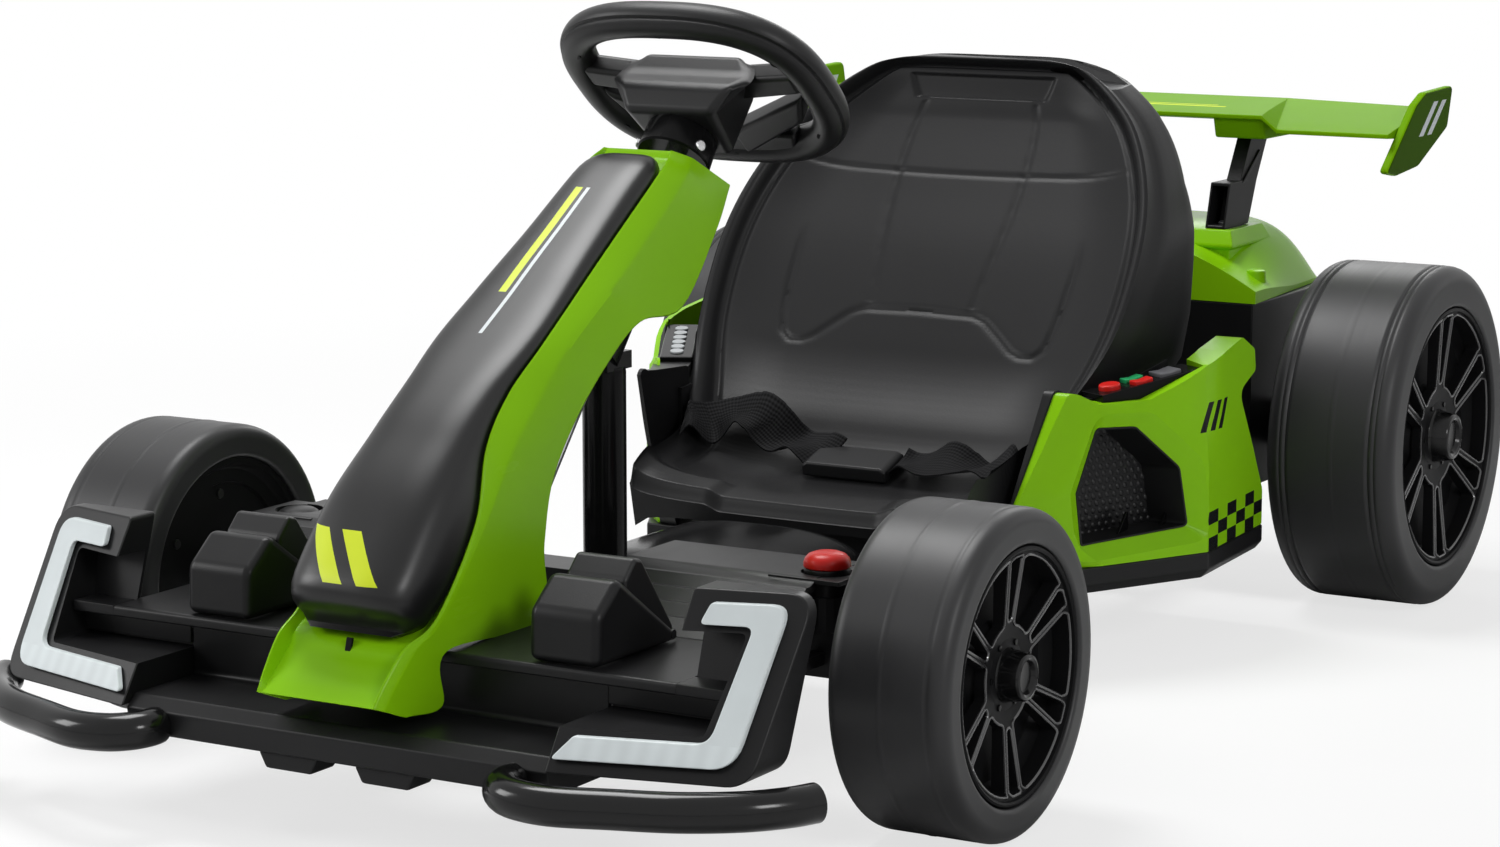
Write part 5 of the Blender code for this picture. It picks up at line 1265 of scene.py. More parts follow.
BUMPER_LINE = (
    (0.140, -0.5923, 0.0690), (0.140, -0.601, 0.0690), (0.146, -0.6120, 0.0685), (0.160, -0.6200, 0.0678),
    (0.186, -0.6209, 0.0672), (0.222, -0.609, 0.0672), (0.260, -0.595, 0.0672), (0.292, -0.574, 0.0672),
    (0.311, -0.552, 0.0672), (0.320, -0.534, 0.0672),
)


def lamp_face(x, z):
    """y of the sloping plane that the lamp bars lie in."""
    return -0.590 + 0.233 * (x - 0.169) + 0.654 * (z - 0.0935)


def lamp_back(z):
    """y of the housings' sloping back."""
    return -0.4875 - 0.32 * (0.186 - z)


LAMP_OUTLINE = ((0.1680, 0.0878), (0.2815, 0.0892), (0.2868, 0.1795), (0.2380, 0.1787), (0.2345, 0.1662),
                (0.2685, 0.1665), (0.2625, 0.1020), (0.1785, 0.1012))
LAMP_CORNERS = (0.002, 0.015, 0.011, 0.003, 0.003, 0.005, 0.010, 0.003)
HOUSING_OUTLINE = ((0.1652, 0.079), (0.2925, 0.079), (0.2985, 0.1855), (0.2222, 0.1855), (0.2222, 0.1246),
                   (0.1652, 0.1246))
HOUSING_CORNERS = (0.002, 0.016, 0.017, 0.003, 0.002, 0.002)
HOUSING_RECESS = ((0.145, 0.1045), (0.2560, 0.1045), (0.2640, 0.1620), (0.200, 0.1610))
HOUSING_WALL = 0.004


class KART_OT_lamps(KartOperator):
    """Frosted C-shaped lamp bars in their corner housings"""
    bl_idname = "kart.lamps"
    bl_label = "Lamps"

    def make(self, sizes, context):
        outline = rounded(LAMP_OUTLINE, LAMP_CORNERS, 6)
        for side, word, tag in SIDES:
            self.housing(side, word, tag)
            rings = [[(x, lamp_face(x, z) + depth, z) for x, z in outline] for depth in (-0.0014, 0.0038)]
            shape = sided(finished(skin(rings), 0.0012, 3, 50.0), side)
            lens = publish(f"lamp_bar_{word}", shape, "lens", "chassis", [f"headlight_lens_{tag}"], 50.0)
            self.lay_uv(lens)

    def housing(self, side, word, tag):
        """Corner block with rounded outer edges, hollowed behind the bar."""
        outline = rounded(HOUSING_OUTLINE, HOUSING_CORNERS, 8)
        rings = [[(x, lamp_face(x, z) + 0.0041, z) for x, z in outline],
                 [(x, lamp_back(z), z) for x, z in outline]]
        solid = finished(skin(rings), 0.0030, 4, 55.0)
        recess = rounded(HOUSING_RECESS, 0.004, 4)
        hollow = skin([[(x, -0.70, z) for x, z in recess],
                       [(x, lamp_back(z) - HOUSING_WALL, z) for x, z in recess]])
        publish(f"lamp_housing_{word}", sided(cut(solid, hollow), side), "satin", "chassis",
                [f"headlight_housing_{tag}"])

    def lay_uv(self, lens):
        """UV in metres: across the kart and up."""
        layer = lens.data.uv_layers.new(name="along")
        for loop in lens.data.loops:
            place = lens.data.vertices[loop.vertex_index].co
            layer.data[loop.index].uv = (abs(place.x), place.z)


class KART_OT_bumpers(KartOperator):
    """Bent bumper tubes under the lamps"""
    bl_idname = "kart.bumpers"
    bl_label = "Bumpers"

    def make(self, sizes, context):
        for side, word, tag in SIDES:
            path = [(side * x, y, z) for x, y, z in through(BUMPER_LINE, 6)]
            made = tube(f"bumper_{word}", path, 0.0125, 28, "lacquer")
            dress(made, "lacquer", "chassis", [f"bumper_tube_{tag}"])


# Steering

COLUMN_TOP = Vector((0.0, -0.132, 0.4625))
COLUMN_UP = Vector((0.0, 0.6428, 0.7660))
WHEEL_UP = Vector((0.0, -0.7660, 0.6428))


def on_column(across, up, out):
    """A point given across the wheel, up it and out of it towards the driver."""
    return COLUMN_TOP + Vector((across, 0.0, 0.0)) + WHEEL_UP * up + COLUMN_UP * out


def wheel_block(outline, low, high):
    """A prism on the wheel's plane."""
    return skin([[on_column(a, b, level) for a, b in outline] for level in (low, high)])


# Half width, height up the wheel and stand out of it, round the hub pod
POD_HUB = ((0.040, 0.0250, 0.0090), (0.0535, 0.0250, -0.0100), (0.048, 0.0340, -0.0260),
           (0.036, 0.0290, -0.0465), (0.031, -0.0240, -0.0465), (0.034, -0.0200, 0.0040))
# (stand out of the wheel, radius) of the collar behind it
COLUMN_COLLAR = ((-0.0680, 0.0262), (-0.0665, 0.0274), (-0.0420, 0.0260), (-0.0400, 0.0250))
GRIP_RADIUS = 0.0132
GRIP_SIDES = 48
GRIP_SEAMS = (44, 20)       # sides of the grip's section where a seam runs
WHEEL_FOOT = ((-0.058, -0.048), (0.058, -0.048), (0.050, -0.071), (-0.050, -0.071))
ARMS = (
    ((0.088, 0.027), (0.088, 0.006), (0.024, -0.006), (0.024, 0.018)),
    ((0.084, 0.000), (0.073, -0.030), (0.008, -0.074), (0.006, -0.046)),
)


class KART_OT_steering(KartOperator):
    """Steering wheel with its arms, hub pod, collar and screws"""
    bl_idname = "kart.steering"
    bl_label = "Steering"

    def make(self, sizes, context):
        self.rim()
        self.hub()
        screw = finished(bar((0.0, 0.0, -0.003), (0.0, 0.0, 0.0024), 0.0042, 20), 0.0010, 3)
        spots = [(on_column(side * 0.0248, 0.0105, -0.0615), on_column(side, 0.42, 0.0) - COLUMN_TOP)
                 for side in (1, -1)]
        on_spots("collar_screws", spots, screw, "zinc", "steering")
        hole = finished(bar((0.0, 0.0, -0.002), (0.0, 0.0, 0.0004), 0.0036, 16), 0.0004, 2)
        ring = squared_oval(0.092, 0.073, 2.7, 24)
        spots = [(on_column(*ring[k], -0.0122), -COLUMN_UP) for k in (2, 6, 10, 14, 18, 22)]
        on_spots("wheel_screws", spots, hole, "core", "steering")

    def rim(self):
        """Squared ring with a seam round it, its arms and the plate across its foot."""
        ring = squared_oval(0.095, 0.075, 2.7, 120)
        rows = []
        for k, (a, b) in enumerate(ring):
            ahead = Vector(ring[(k + 1) % len(ring)]) - Vector(ring[k - 1])
            outward = Vector((ahead.y, -ahead.x)).normalized()
            row = []
            for j, (c, s) in enumerate(circle(GRIP_SIDES)):
                beside = j - 1 in GRIP_SEAMS or j + 1 in GRIP_SEAMS
                reach = GRIP_RADIUS - 0.0016 * (j in GRIP_SEAMS) - 0.0003 * beside
                away = reach * c
                row.append(on_column(a + outward.x * away, b + outward.y * away, reach * s))
            rows.append(row)
        parts = [skin(rows, row_closed=True)]
        for side in (1, -1):
            for arm in ARMS:
                outline = [(side * x, y) for x, y in arm]
                parts.append(finished(wheel_block(outline, -0.0115, 0.005), 0.0040, 4))
        parts.append(finished(wheel_block(WHEEL_FOOT, -0.0105, 0.004), 0.0030, 4))
        publish("steering_rim", merged(*parts), "grip", "steering", ["steering_wheel"], 30.0)

    def hub(self):
        """Faceted pod behind the wheel on a round collar."""
        rings = [[on_column(side * wide, up, out) for wide, up, out in POD_HUB] for side in (-1, 1)]
        pod = finished(skin(rings), 0.0055, 5, 14.0)
        neck = [[on_column(reach * c, reach * s, out) for c, s in circle(48)] for out, reach in COLUMN_COLLAR]
        publish("steering_pod", pod, "grip", "steering", ["steering_hub"], 50.0)
        publish("steering_collar", skin(neck), "gloss", "steering")


# Seat and belt

# y, z, half width and forward stand of the sides, from the front edge to the top
SEAT_LINE = (
    (0.000, 0.128, 0.148, 0.012), (0.030, 0.134, 0.146, 0.024), (0.075, 0.136, 0.147, 0.030),
    (0.115, 0.150, 0.152, 0.028), (0.148, 0.188, 0.169, 0.020), (0.184, 0.245, 0.187, 0.008),
    (0.223, 0.305, 0.190, 0.006), (0.258, 0.355, 0.179, 0.005), (0.290, 0.402, 0.152, 0.004),
    (0.311, 0.436, 0.112, 0.003), (0.320, 0.453, 0.078, 0.003),
)
SEAT_STEPS = 8
SEAT_ROWS = through(SEAT_LINE, SEAT_STEPS)
SEAT_TOP = len(SEAT_LINE) - 1.0
# (across, place) line of the deep crease
SEAT_GROOVE = ((0.0, 5.30), (0.17, 5.28), (0.21, 5.22), (0.32, 4.88), (0.36, 4.82), (0.41, 4.82),
               (0.44, 4.92), (0.452, 5.20), (0.470, 6.30))
ACROSS_SIZE = 0.18      # metres of one unit across, near the creases
EDGE_SIZE = 0.040       # metres of one row of SEAT_LINE near the front and top edges
PLACE_SIZE = 0.064      # metres of one row of SEAT_LINE up the back rest
SEAT_HOLLOW = 0.010
SEAT_FLANK = 0.1905
# (place, depth) from the face to the back
SEAT_DEPTH = ((0.0, 0.018), (3.0, 0.020), (3.6, 0.045), (4.4, 0.125), (5.0, 0.116), (6.0, 0.082),
              (7.0, 0.052), (8.0, 0.038), (9.0, 0.030), (10.0, 0.024))


def seat_row(place):
    """Centre, half width and forward stand of the seat at a place, with its outward direction."""
    at = max(0.0, min(place, SEAT_TOP)) * SEAT_STEPS
    low = min(int(at), len(SEAT_ROWS) - 2)
    share = at - low
    values = [a + (b - a) * share for a, b in zip(SEAT_ROWS[low], SEAT_ROWS[low + 1])]
    before = SEAT_ROWS[max(low - 1, 0)]
    after = SEAT_ROWS[min(low + 2, len(SEAT_ROWS) - 1)]
    along = Vector((0.0, after[0] - before[0], after[1] - before[1])).normalized()
    return values, Vector((0.0, -along.z, along.y))


def seat_point(place, across, lift=0.0):
    """A point on the seat's face; place counts SEAT_LINE rows and across runs from -1 to 1."""
    (y, z, half, forward), out = seat_row(place)
    hollow = SEAT_HOLLOW * (1.0 - ease(abs(across), 0.40, 0.82))
    hollow *= ease(place, 3.6, 4.8) * (1.0 - ease(place, 8.2, 9.4))
    stand = forward * abs(across) ** 3 + lift - hollow
    return Vector((half * math.sin(0.5 * math.pi * across), y, z)) + out * stand


def seat_end(across):
    """Where the seat's rounded top edge lies."""
    return SEAT_TOP - 1.1 * abs(across) ** 5


def near_line(point, line):
    """Distance in metres from a spot (across, place) of the seat to a line of such spots."""
    def in_metres(spot):
        return Vector((spot[0] * ACROSS_SIZE, spot[1] * PLACE_SIZE))
    spot = in_metres(point)
    best = 1.0
    for first, second in zip(line, line[1:]):
        start = in_metres(first)
        run = in_metres(second) - start
        share = max(0.0, min(1.0, (spot - start).dot(run) / run.length_squared))
        best = min(best, (spot - start - run * share).length)
    return best


def seat_behind(place, across, share):
    """A point on the way from the seat's face to its back, below the pan and behind the back rest."""
    (y, z, half, _), out = seat_row(place)
    turn = ease(place, 3.2, 4.4)
    way = Vector((0.0, 1.0, 0.12)) * turn - out * (1.0 - turn)
    reach = between(SEAT_DEPTH, place) + 0.012 * abs(across) ** 4 * (1.0 - turn)
    wide = 0.0060 * min(1.0, 5.0 * share) * ease(place, 1.0, 4.0)
    wide += max(0.0, SEAT_FLANK - half) * share * ease(place, 3.5, 4.2) * (1.0 - ease(place, 5.6, 6.6))
    start = seat_point(place, math.copysign(1.0, across), -0.003) if share < 1.0 else Vector((0.0, y, z))
    x = half * math.sin(0.5 * math.pi * across) + math.copysign(wide, across) * abs(across) ** 8
    return Vector((x, start.y, start.z)) + way * reach * share


class KART_OT_seat(KartOperator):
    """Bucket seat with its creases, badge recess, rolled edge and deep flanks"""
    bl_idname = "kart.seat"
    bl_label = "Seat"

    def relief(self, place, across, depth):
        """Height of the moulded creases and the recess at a spot of the seat."""
        size = abs(across)
        rise = 0.0
        if 4.6 < place < 6.6:
            fade = 1.0 - ease(place, 5.7, 6.4)
            rise -= 1.7 * depth * max(0.0, 1.0 - near_line((size, place), SEAT_GROOVE) / 0.0030) * fade
        if 5.35 < place < 8.55:
            gap = abs(size - 0.155 - 0.031 * (place - 5.3)) * ACROSS_SIZE
            rise -= depth * max(0.0, 1.0 - gap / 0.0026)
        if size < 0.74:
            gap = abs(place - 7.26 - 0.09 * (size / 0.65) ** 2) * 0.062
            rise -= depth * max(0.0, 1.0 - gap / 0.0030) * (1.0 - ease(size, 0.55, 0.74))
        share = (place - 8.62) / 0.63
        inside = min(share * 0.028, (1.0 - share) * 0.028, (0.31 + 0.14 * share - size) * 0.12)
        rise -= 0.0022 * ease(inside, 0.0, 0.0022)
        pads = ease(size, 0.30, 0.38) * (1.0 - ease(place, 0.85, 1.15))
        return rise + 0.0050 * pads

    def roll(self, place, across):
        """Height of the rolled edge along the sides and the top."""
        half = seat_row(place)[0][2]
        inset = half * (1.0 - math.sin(0.5 * math.pi * abs(across)))
        away = min(inset, (seat_end(across) - place) * EDGE_SIZE)
        roll = 0.0085 * max(0.0, 1.0 - ((away - 0.0045) / 0.0075) ** 2)
        valley = 0.0026 * max(0.0, 1.0 - abs(away - 0.0155) / 0.0050)
        front = 0.010 * (1.0 - ease(place * EDGE_SIZE, 0.0, 0.012))
        return (roll - valley) * ease(place, 1.2, 3.0) - front

    def make(self, sizes, context):
        count_along = 300
        count_across = 180
        count_under = 24
        flank = (0.06, 0.16, 0.35, 0.60, 0.84, 0.95)
        rings = []
        for k in range(count_along + 1):
            ring = []
            for j in range(count_across + 1):
                across = -1.0 + 2.0 * j / count_across
                place = seat_end(across) * k / count_along
                lift = self.roll(place, across) + self.relief(place, across, sizes.crease_depth)
                ring.append(seat_point(place, across, lift))
            edge = seat_end(1.0) * k / count_along
            ring += [seat_behind(edge, 1.0, share) for share in flank]
            for j in range(count_under + 1):
                across = (1.0 - 2.0 * j / count_under) * 0.985
                ring.append(seat_behind(seat_end(across) * k / count_along, across, 1.0))
            ring += [seat_behind(edge, -1.0, share) for share in reversed(flank)]
            rings.append(ring)
        publish("seat_bucket", skin(rings), "seat", "chassis", ["seat_shell"], 50.0)


# (place, across, lift) runs of the belt over the seat
STRAPS = {
    "left": ((2.10, 0.86, 0.010), (2.25, 0.70, 0.016), (2.40, 0.54, 0.010), (2.55, 0.38, 0.017),
             (2.62, 0.25, 0.011), (2.62, 0.17, 0.010)),
    "right": ((2.35, -0.94, 0.011), (2.70, -0.83, 0.018), (3.00, -0.70, 0.011), (3.24, -0.54, 0.020),
              (3.18, -0.40, 0.026), (2.92, -0.28, 0.011), (2.78, -0.18, 0.015), (2.66, -0.09, 0.010)),
}
STRAP_POINTS = 9        # points across one face of the belt
STRAP_THICK = 0.0014
PAN_PLACE = 0.045       # metres of one row of SEAT_LINE on the seat's pan
PAN_ACROSS = 0.19       # metres of one unit across the pan


class KART_OT_belt(KartOperator):
    """Lap belt laid in folds across the seat, with its buckle"""
    bl_idname = "kart.belt"
    bl_label = "Lap belt"

    def make(self, sizes, context):
        for _, word, tag in SIDES:
            self.strap(word, tag, sizes.belt_width)
        softened("belt_catch", "belt_buckle", "satin", "chassis", 0.0022)

    def edges(self, here, run, lift, width):
        """Points across the belt, laid on the seat square to its run."""
        flat = Vector((run[0] * PAN_PLACE, run[1] * PAN_ACROSS)).normalized()
        across = Vector((-flat.y, flat.x)) * width * 0.5

        def spot(way):
            return here[0] + way * across.x / PAN_PLACE, here[1] + way * across.y / PAN_ACROSS
        reach = 1.0
        for _ in range(3):
            first, last = (seat_point(*spot(way * reach), lift) for way in (-1.0, 1.0))
            reach *= width / (last - first).length
        spots = [spot(self.share(k) * reach) for k in range(STRAP_POINTS)]
        return [(place, max(-0.985, min(0.985, side))) for place, side in spots]

    def share(self, k):
        """Place of a point across the belt, from -1 to 1."""
        return 2.0 * k / (STRAP_POINTS - 1) - 1.0

    def strap(self, word, tag, width):
        """One belt along its run, with its edges waving."""
        path = through(STRAPS[word], 12)
        rows = []
        middle = []
        for k, (place, across, lift) in enumerate(path):
            after = path[min(k + 1, len(path) - 1)]
            before = path[max(k - 1, 0)]
            run = (after[0] - before[0], after[1] - before[1])
            wave = 0.0060 * math.sin(k * 0.21)
            spots = self.edges((place, across), run, lift, width)
            faces = [[seat_point(p, a, lift + thick + wave * self.share(j)) for j, (p, a) in enumerate(spots)]
                     for thick in (STRAP_THICK, 0.0)]
            rows.append(faces[0] + list(reversed(faces[1])))
            middle.append(seat_point(place, across, lift))
        lengths = [0.0]
        for first, second in zip(middle, middle[1:]):
            lengths.append(lengths[-1] + (second - first).length)
        shape = skin(rows)
        self.lay_uv(shape, lengths, width)
        strap = publish(f"belt_strap_{word}", shape, "webbing", "chassis", [f"lap_belt_{tag}"], 60.0)

    def lay_uv(self, shape, lengths, width):
        """UV in metres along and across the belt."""
        layer = shape.loops.layers.uv.new("weave")
        shape.verts.index_update()
        for face in shape.faces:
            for loop in face.loops:
                row, spot = divmod(loop.vert.index, 2 * STRAP_POINTS)
                across = spot if spot < STRAP_POINTS else 2 * STRAP_POINTS - 1 - spot
                loop[layer].uv = (lengths[row], width * across / (STRAP_POINTS - 1.0))


# Side pods and controls

# (y, x) lines of the outer and inner faces in plan, and (y, z) outlines of the side view
POD_OUTER = ((0.055, 0.170), (0.211, 0.253), (0.345, 0.244))
POD_INNER = ((0.055, 0.157), (0.120, 0.1675), (0.160, 0.186), (0.211, 0.212), (0.345, 0.2105))
POD_FLOOR = 0.0833
POD_SIDE = ((0.096, POD_FLOOR), (0.056, 0.135), (0.100, 0.221), (0.116, 0.209), (0.158, 0.209),
            (0.214, 0.2310), (0.245, 0.238), (0.284, 0.244), (0.314, 0.231), (0.318, 0.213), (0.279, 0.201),
            (0.316, 0.150), (0.341, 0.112), (0.341, POD_FLOOR))
POD_CORNERS = (0.001, 0.005, 0.006, 0.006, 0.010, 0.010, 0.010, 0.012, 0.006, 0.005, 0.010, 0.020, 0.008,
               0.001)
POD_WINDOW = ((0.109, 0.099), (0.104, 0.141), (0.122, 0.190), (0.156, 0.188), (0.195, 0.152), (0.203, 0.104))
WINDOW_CORNERS = (0.003, 0.006, 0.005, 0.008, 0.010, 0.005)
POD_ARM = (0.2137, 0.2057)          # y and z above and behind which the liner ends
LINER_SHARE = {"left": 0.40, "right": 0.88}         # share of the pod's width that the liner takes
SILL_LEVELS = ((0.0620, -0.0065), (0.0695, 0.0), (0.0830, 0.0))       # height and inset of the ledge
PANEL_CENTRE = (0.2105, 0.176, 0.2215)
PANEL_HALF = (0.0135, 0.049)
PANEL_THICK = 0.012
PANEL_PLAY = 0.0004
POD_SOFT = 0.028        # reach of the softened corner
POD_FACET = (0.018, 0.0095)         # width and fall of the facet along the front
FIN_SPOTS = ((0.202, 0.148), (0.221, 0.184))


def pod_outer(y, z):
    """Outer face of the pod in plan: a corner below the arm that softens above it."""
    sharp = between(POD_OUTER, y)
    spots = [between(POD_OUTER, y + POD_SOFT * (k / 4.0 - 1.0)) for k in range(9)]
    return sharp + (sum(spots) / 9.0 - sharp) * ease(z, 0.145, 0.190)


def pod_front(y, z):
    """How far a spot of the pod's side view lies behind its bent front edge."""
    best = 1.0
    for (first_y, first_z), (second_y, second_z) in zip(POD_SIDE[:2], POD_SIDE[1:3]):
        run_y = second_y - first_y
        run_z = second_z - first_z
        best = min(best, ((y - first_y) * run_z - (z - first_z) * run_y) / math.hypot(run_y, run_z))
    return best


def pod_space(shape):
    """Bend a straight slab, x from 0 to 1, to the plan of the left pod, with a facet along its front."""
    planes = [((0.0, y, 0.0), (0.0, 1.0, 0.0)) for y, _ in POD_OUTER + POD_INNER]
    planes += [((0.0, 0.150 + 0.0125 * k, 0.0), (0.0, 1.0, 0.0)) for k in range(12)]
    planes += [((0.0, 0.0, 0.145 + 0.009 * k), (0.0, 0.0, 1.0)) for k in range(8)]
    for first, second in zip(POD_SIDE[:2], POD_SIDE[1:3]):
        inward = Vector((0.0, second[1] - first[1], first[0] - second[0])).normalized()
        planes.append((Vector((0.0, first[0], first[1])) + inward * POD_FACET[0], inward))
    for place, way in planes:
        geometry = shape.verts[:] + shape.edges[:] + shape.faces[:]
        bmesh.ops.bisect_plane(shape, geom=geometry, dist=1e-6, plane_co=place, plane_no=way)
    for vert in shape.verts:
        inner = between(POD_INNER, vert.co.y)
        outer = pod_outer(vert.co.y, vert.co.z)
        outer -= POD_FACET[1] * max(0.0, 1.0 - max(0.0, pod_front(vert.co.y, vert.co.z)) / POD_FACET[0])
        vert.co.x = inner + (outer - inner) * vert.co.x
    return shape


def panel_frame():
    """Matrix of the left control panel: x across it, y along it and z out of it."""
    (first_y, first_x), (second_y, second_x) = POD_OUTER[:2]
    run = math.atan2(second_x - first_x, second_y - first_y)
    return (Matrix.Translation(PANEL_CENTRE) @ Matrix.Rotation(-run, 4, "Z")
            @ Matrix.Rotation(math.radians(8.0), 4, "X"))


class KART_OT_pods(KartOperator):
    """Side pods, their pockets, sills, panels and switches"""
    bl_idname = "kart.pods"
    bl_label = "Side pods"

    def make(self, sizes, context):
        for side, word, tag in SIDES:
            self.pod(side, word, tag)
            self.sill(side, word, tag)
            self.pocket(side, word, sizes)
            softened(f"panel_{word}", f"control_panel_{tag}", "gloss", "chassis", 0.0014)
        self.keys()
        softened("start_knob", "start_button", "red", "start", 0.0012)
        softened("forward_key", "forward_rocker", "green", "forward_switch", 0.0010)
        softened("reverse_key", "reverse_rocker", "red", "reverse_switch", 0.0010)
        softened("speed_key", "speed_rocker", "grey", "speed_switch", 0.0012)

    def seat_of_panel(self):
        """The space that the panel sinks into, open above."""
        wide, long = (half + PANEL_PLAY for half in PANEL_HALF)
        return moved(block((-wide, -long, -PANEL_THICK - PANEL_PLAY), (wide, long, 0.08)), panel_frame())

    def pod(self, side, word, tag):
        """Lime shell with a chamfered window, on a black liner that edges it."""
        outline = rounded(POD_SIDE, POD_CORNERS, 6)
        window = rounded(POD_WINDOW, WINDOW_CORNERS, 6)
        levels = ((1.12, spread(window, 0.0175)), (0.76, window), (0.10, window))
        funnel = skin([[(level, y, z) for y, z in ring] for level, ring in levels])
        inner = LINER_SHARE[word]
        shell = cut(pod_space(cut(prism(outline, "x", inner, 1.0), funnel)), self.seat_of_panel())
        shell = finished(shell, 0.0020, 3, 22.0)
        publish(f"pod_{word}", sided(shell, side), "pod", "chassis", [f"side_pod_{tag}"], 24.0)

        edge = [(y, max(z, POD_FLOOR)) for y, z in spread(outline, 0.0016)]
        if word == "right":
            edge = [(y - 0.066 * ease(z, 0.130, 0.175) * (y < 0.108), z) for y, z in edge]
        collar = prism(spread(window, -0.0001), "x", 0.2, 0.775)
        hole = prism(spread(window, -0.0015), "x", -0.5, 1.5)
        liner = cut(combined(prism(edge, "x", 0.0, inner), [collar], "UNION"), hole)
        liner = cut(liner, block((-1.0, *POD_ARM), (2.0, 0.36, 0.30)))
        liner = finished(cut(pod_space(liner), self.seat_of_panel()), 0.0010, 2, 30.0)
        publish(f"pod_liner_{word}", sided(liner, side), "satin", "chassis")

    def sill(self, side, word, tag):
        """Ledge with a chamfered lower edge, and the plain wall behind the pod's window."""
        front = POD_SIDE[0][0] - 0.004
        rear = POD_SIDE[-1][0]
        inner = 0.118
        rings = []
        for level, inset in SILL_LEVELS:
            ring = [(inner, front, level)]
            for y in (front, POD_OUTER[1][0], rear):
                ring.append((between(POD_OUTER, y) + 0.001 + inset, y, level))
            rings.append(ring + [(inner, rear, level)])
        ledge = skin(rings)
        wall = [(between(POD_INNER, y) - 0.0003, y) for y in (0.098, 0.120, 0.160, 0.207)]
        wall += [(x - 0.003, y) for x, y in reversed(wall)]
        ears = block((0.113, front + 0.01, 0.068), (0.122, rear - 0.01, 0.079))
        shape = merged(finished(ledge, 0.0016, 3, 20.0), prism(wall, "z", 0.082, 0.196), ears)
        publish(f"sill_{word}", sided(shape, side), "satin", "chassis", [f"side_sill_{tag}"])

    def pocket(self, side, word, sizes):
        """Rows of small bumps on the pocket's wall, and two fins on its floor."""
        spots = []
        pitch = sizes.bump_pitch
        for row in range(18):
            for column in range(16):
                y = 0.105 + pitch * (column + 0.5 * (row % 2))
                z = 0.0905 + 0.92 * pitch * row
                slope = (between(POD_INNER, y + 0.001) - between(POD_INNER, y - 0.001)) / 0.002
                spots.append(((side * (between(POD_INNER, y) - 0.0006), y, z), (side, -slope, 0.0)))
        outer = [(0.0029 * c, 0.0025 * s) for c, s in circle(6)]
        bump = skin([[(a * share, b * share, level) for a, b in outer]
                     for level, share in ((0.0, 1.0), (0.0007, 0.8), (0.0011, 0.4))])
        on_spots(f"pocket_bumps_{word}", spots, bump, "grip", "chassis")
        fins = []
        for x, y in FIN_SPOTS:
            outline = [(y, 0.0985), (y + 0.0225, 0.0985), (y + 0.0225, 0.1175), (y + 0.0195, 0.1175)]
            fins.append(finished(prism(outline, "x", x - 0.0011, x + 0.0011), 0.0005, 2))
        publish(f"pocket_fins_{word}", sided(merged(*fins), side), "gloss", "chassis")

    def keys(self):
        """Pale keys in a row on the right panel."""
        mirror = Matrix.Scale(-1.0, 4, (1.0, 0.0, 0.0)) @ panel_frame()
        out = mirror.to_3x3() @ Vector((0.0, 0.0, 1.0))
        spots = [(mirror @ Vector((0.0, -0.034 + 0.0135 * k, 0.0)), out) for k in range(6)]
        key = finished(bar((0.0, 0.0, -0.001), (0.0, 0.0, 0.0014), 0.0056, 24), 0.0007, 2)
        on_spots("right_panel_keys", spots, key, "button", "chassis")


# Rear end

LID_FRONT = 0.428
LID_REAR = 0.6045
LID_BASE = 0.2503
# Height, half width and half length of a strut's socket
SOCKET_LEVELS = ((0.2600, 0.0175, 0.0385), (0.2905, 0.0175, 0.0385), (0.2920, 0.0215, 0.0420),
                 (0.2945, 0.0215, 0.0420), (0.3066, 0.0165, 0.0350))
SOCKET_Y = 0.4975
KNOB_PLACE = (0.1825, 0.4660)
KNOB_PROFILE = ((0.0092, 0.250), (0.0084, 0.2722), (0.0078, 0.2738), (0.0060, 0.2744), (0.0020, 0.2744))
STRUT_X = 0.145
STRUT_PLATE = ((0.4860, 0.3070), (0.5200, 0.3070), (0.5370, 0.3435), (0.5620, 0.3835), (0.5250, 0.3835),
               (0.5000, 0.3435))
STRUT_CASE = ((0.4660, 0.3066), (0.5060, 0.3066), (0.5150, 0.3450), (0.4770, 0.3450))
STRUT_POCKET = ((0.4500, 0.3096), (0.4980, 0.3096), (0.5040, 0.3418), (0.4500, 0.3418))
STRUT_RIB = ((0.5020, 0.3430), (0.5080, 0.3430), (0.5420, 0.3660), (0.5400, 0.3690))
WING_FOOT = ((0.4960, 0.3815), (0.5640, 0.3815), (0.5740, 0.4000), (0.4900, 0.4000))
WING_PLACE = (0.541, 0.381)
WING_HALF = 0.292
# (y, upper z, lower z) of the blade from the wing's place
BLADE = ((-0.055, 0.0215, 0.0180), (-0.031, 0.0238, 0.0150), (0.004, 0.0262, 0.0150),
         (0.034, 0.0280, 0.0200), (0.049, 0.0290, 0.0262))
# Side view of an end plate from the wing's place
PLATE = ((-0.018, 0.033), (0.001, 0.042), (0.066, 0.044), (0.067, 0.008), (0.008, -0.021),
         (-0.041, -0.025), (-0.067, -0.021))
PLATE_CORNERS = (0.012, 0.010, 0.006, 0.006, 0.020, 0.010, 0.004)
PLATE_LEAN = 0.12
PLATE_HALF = 0.004
BLADE_DROP = 0.0112     # fall of the blade's outer ends at the front
BLADE_STEP = 0.03       # share of the blade over which it falls


def lid_half(y):
    """Half width of the lid."""
    return 0.1985 - 0.0135 * (y - LID_FRONT) / (LID_REAR - LID_FRONT)


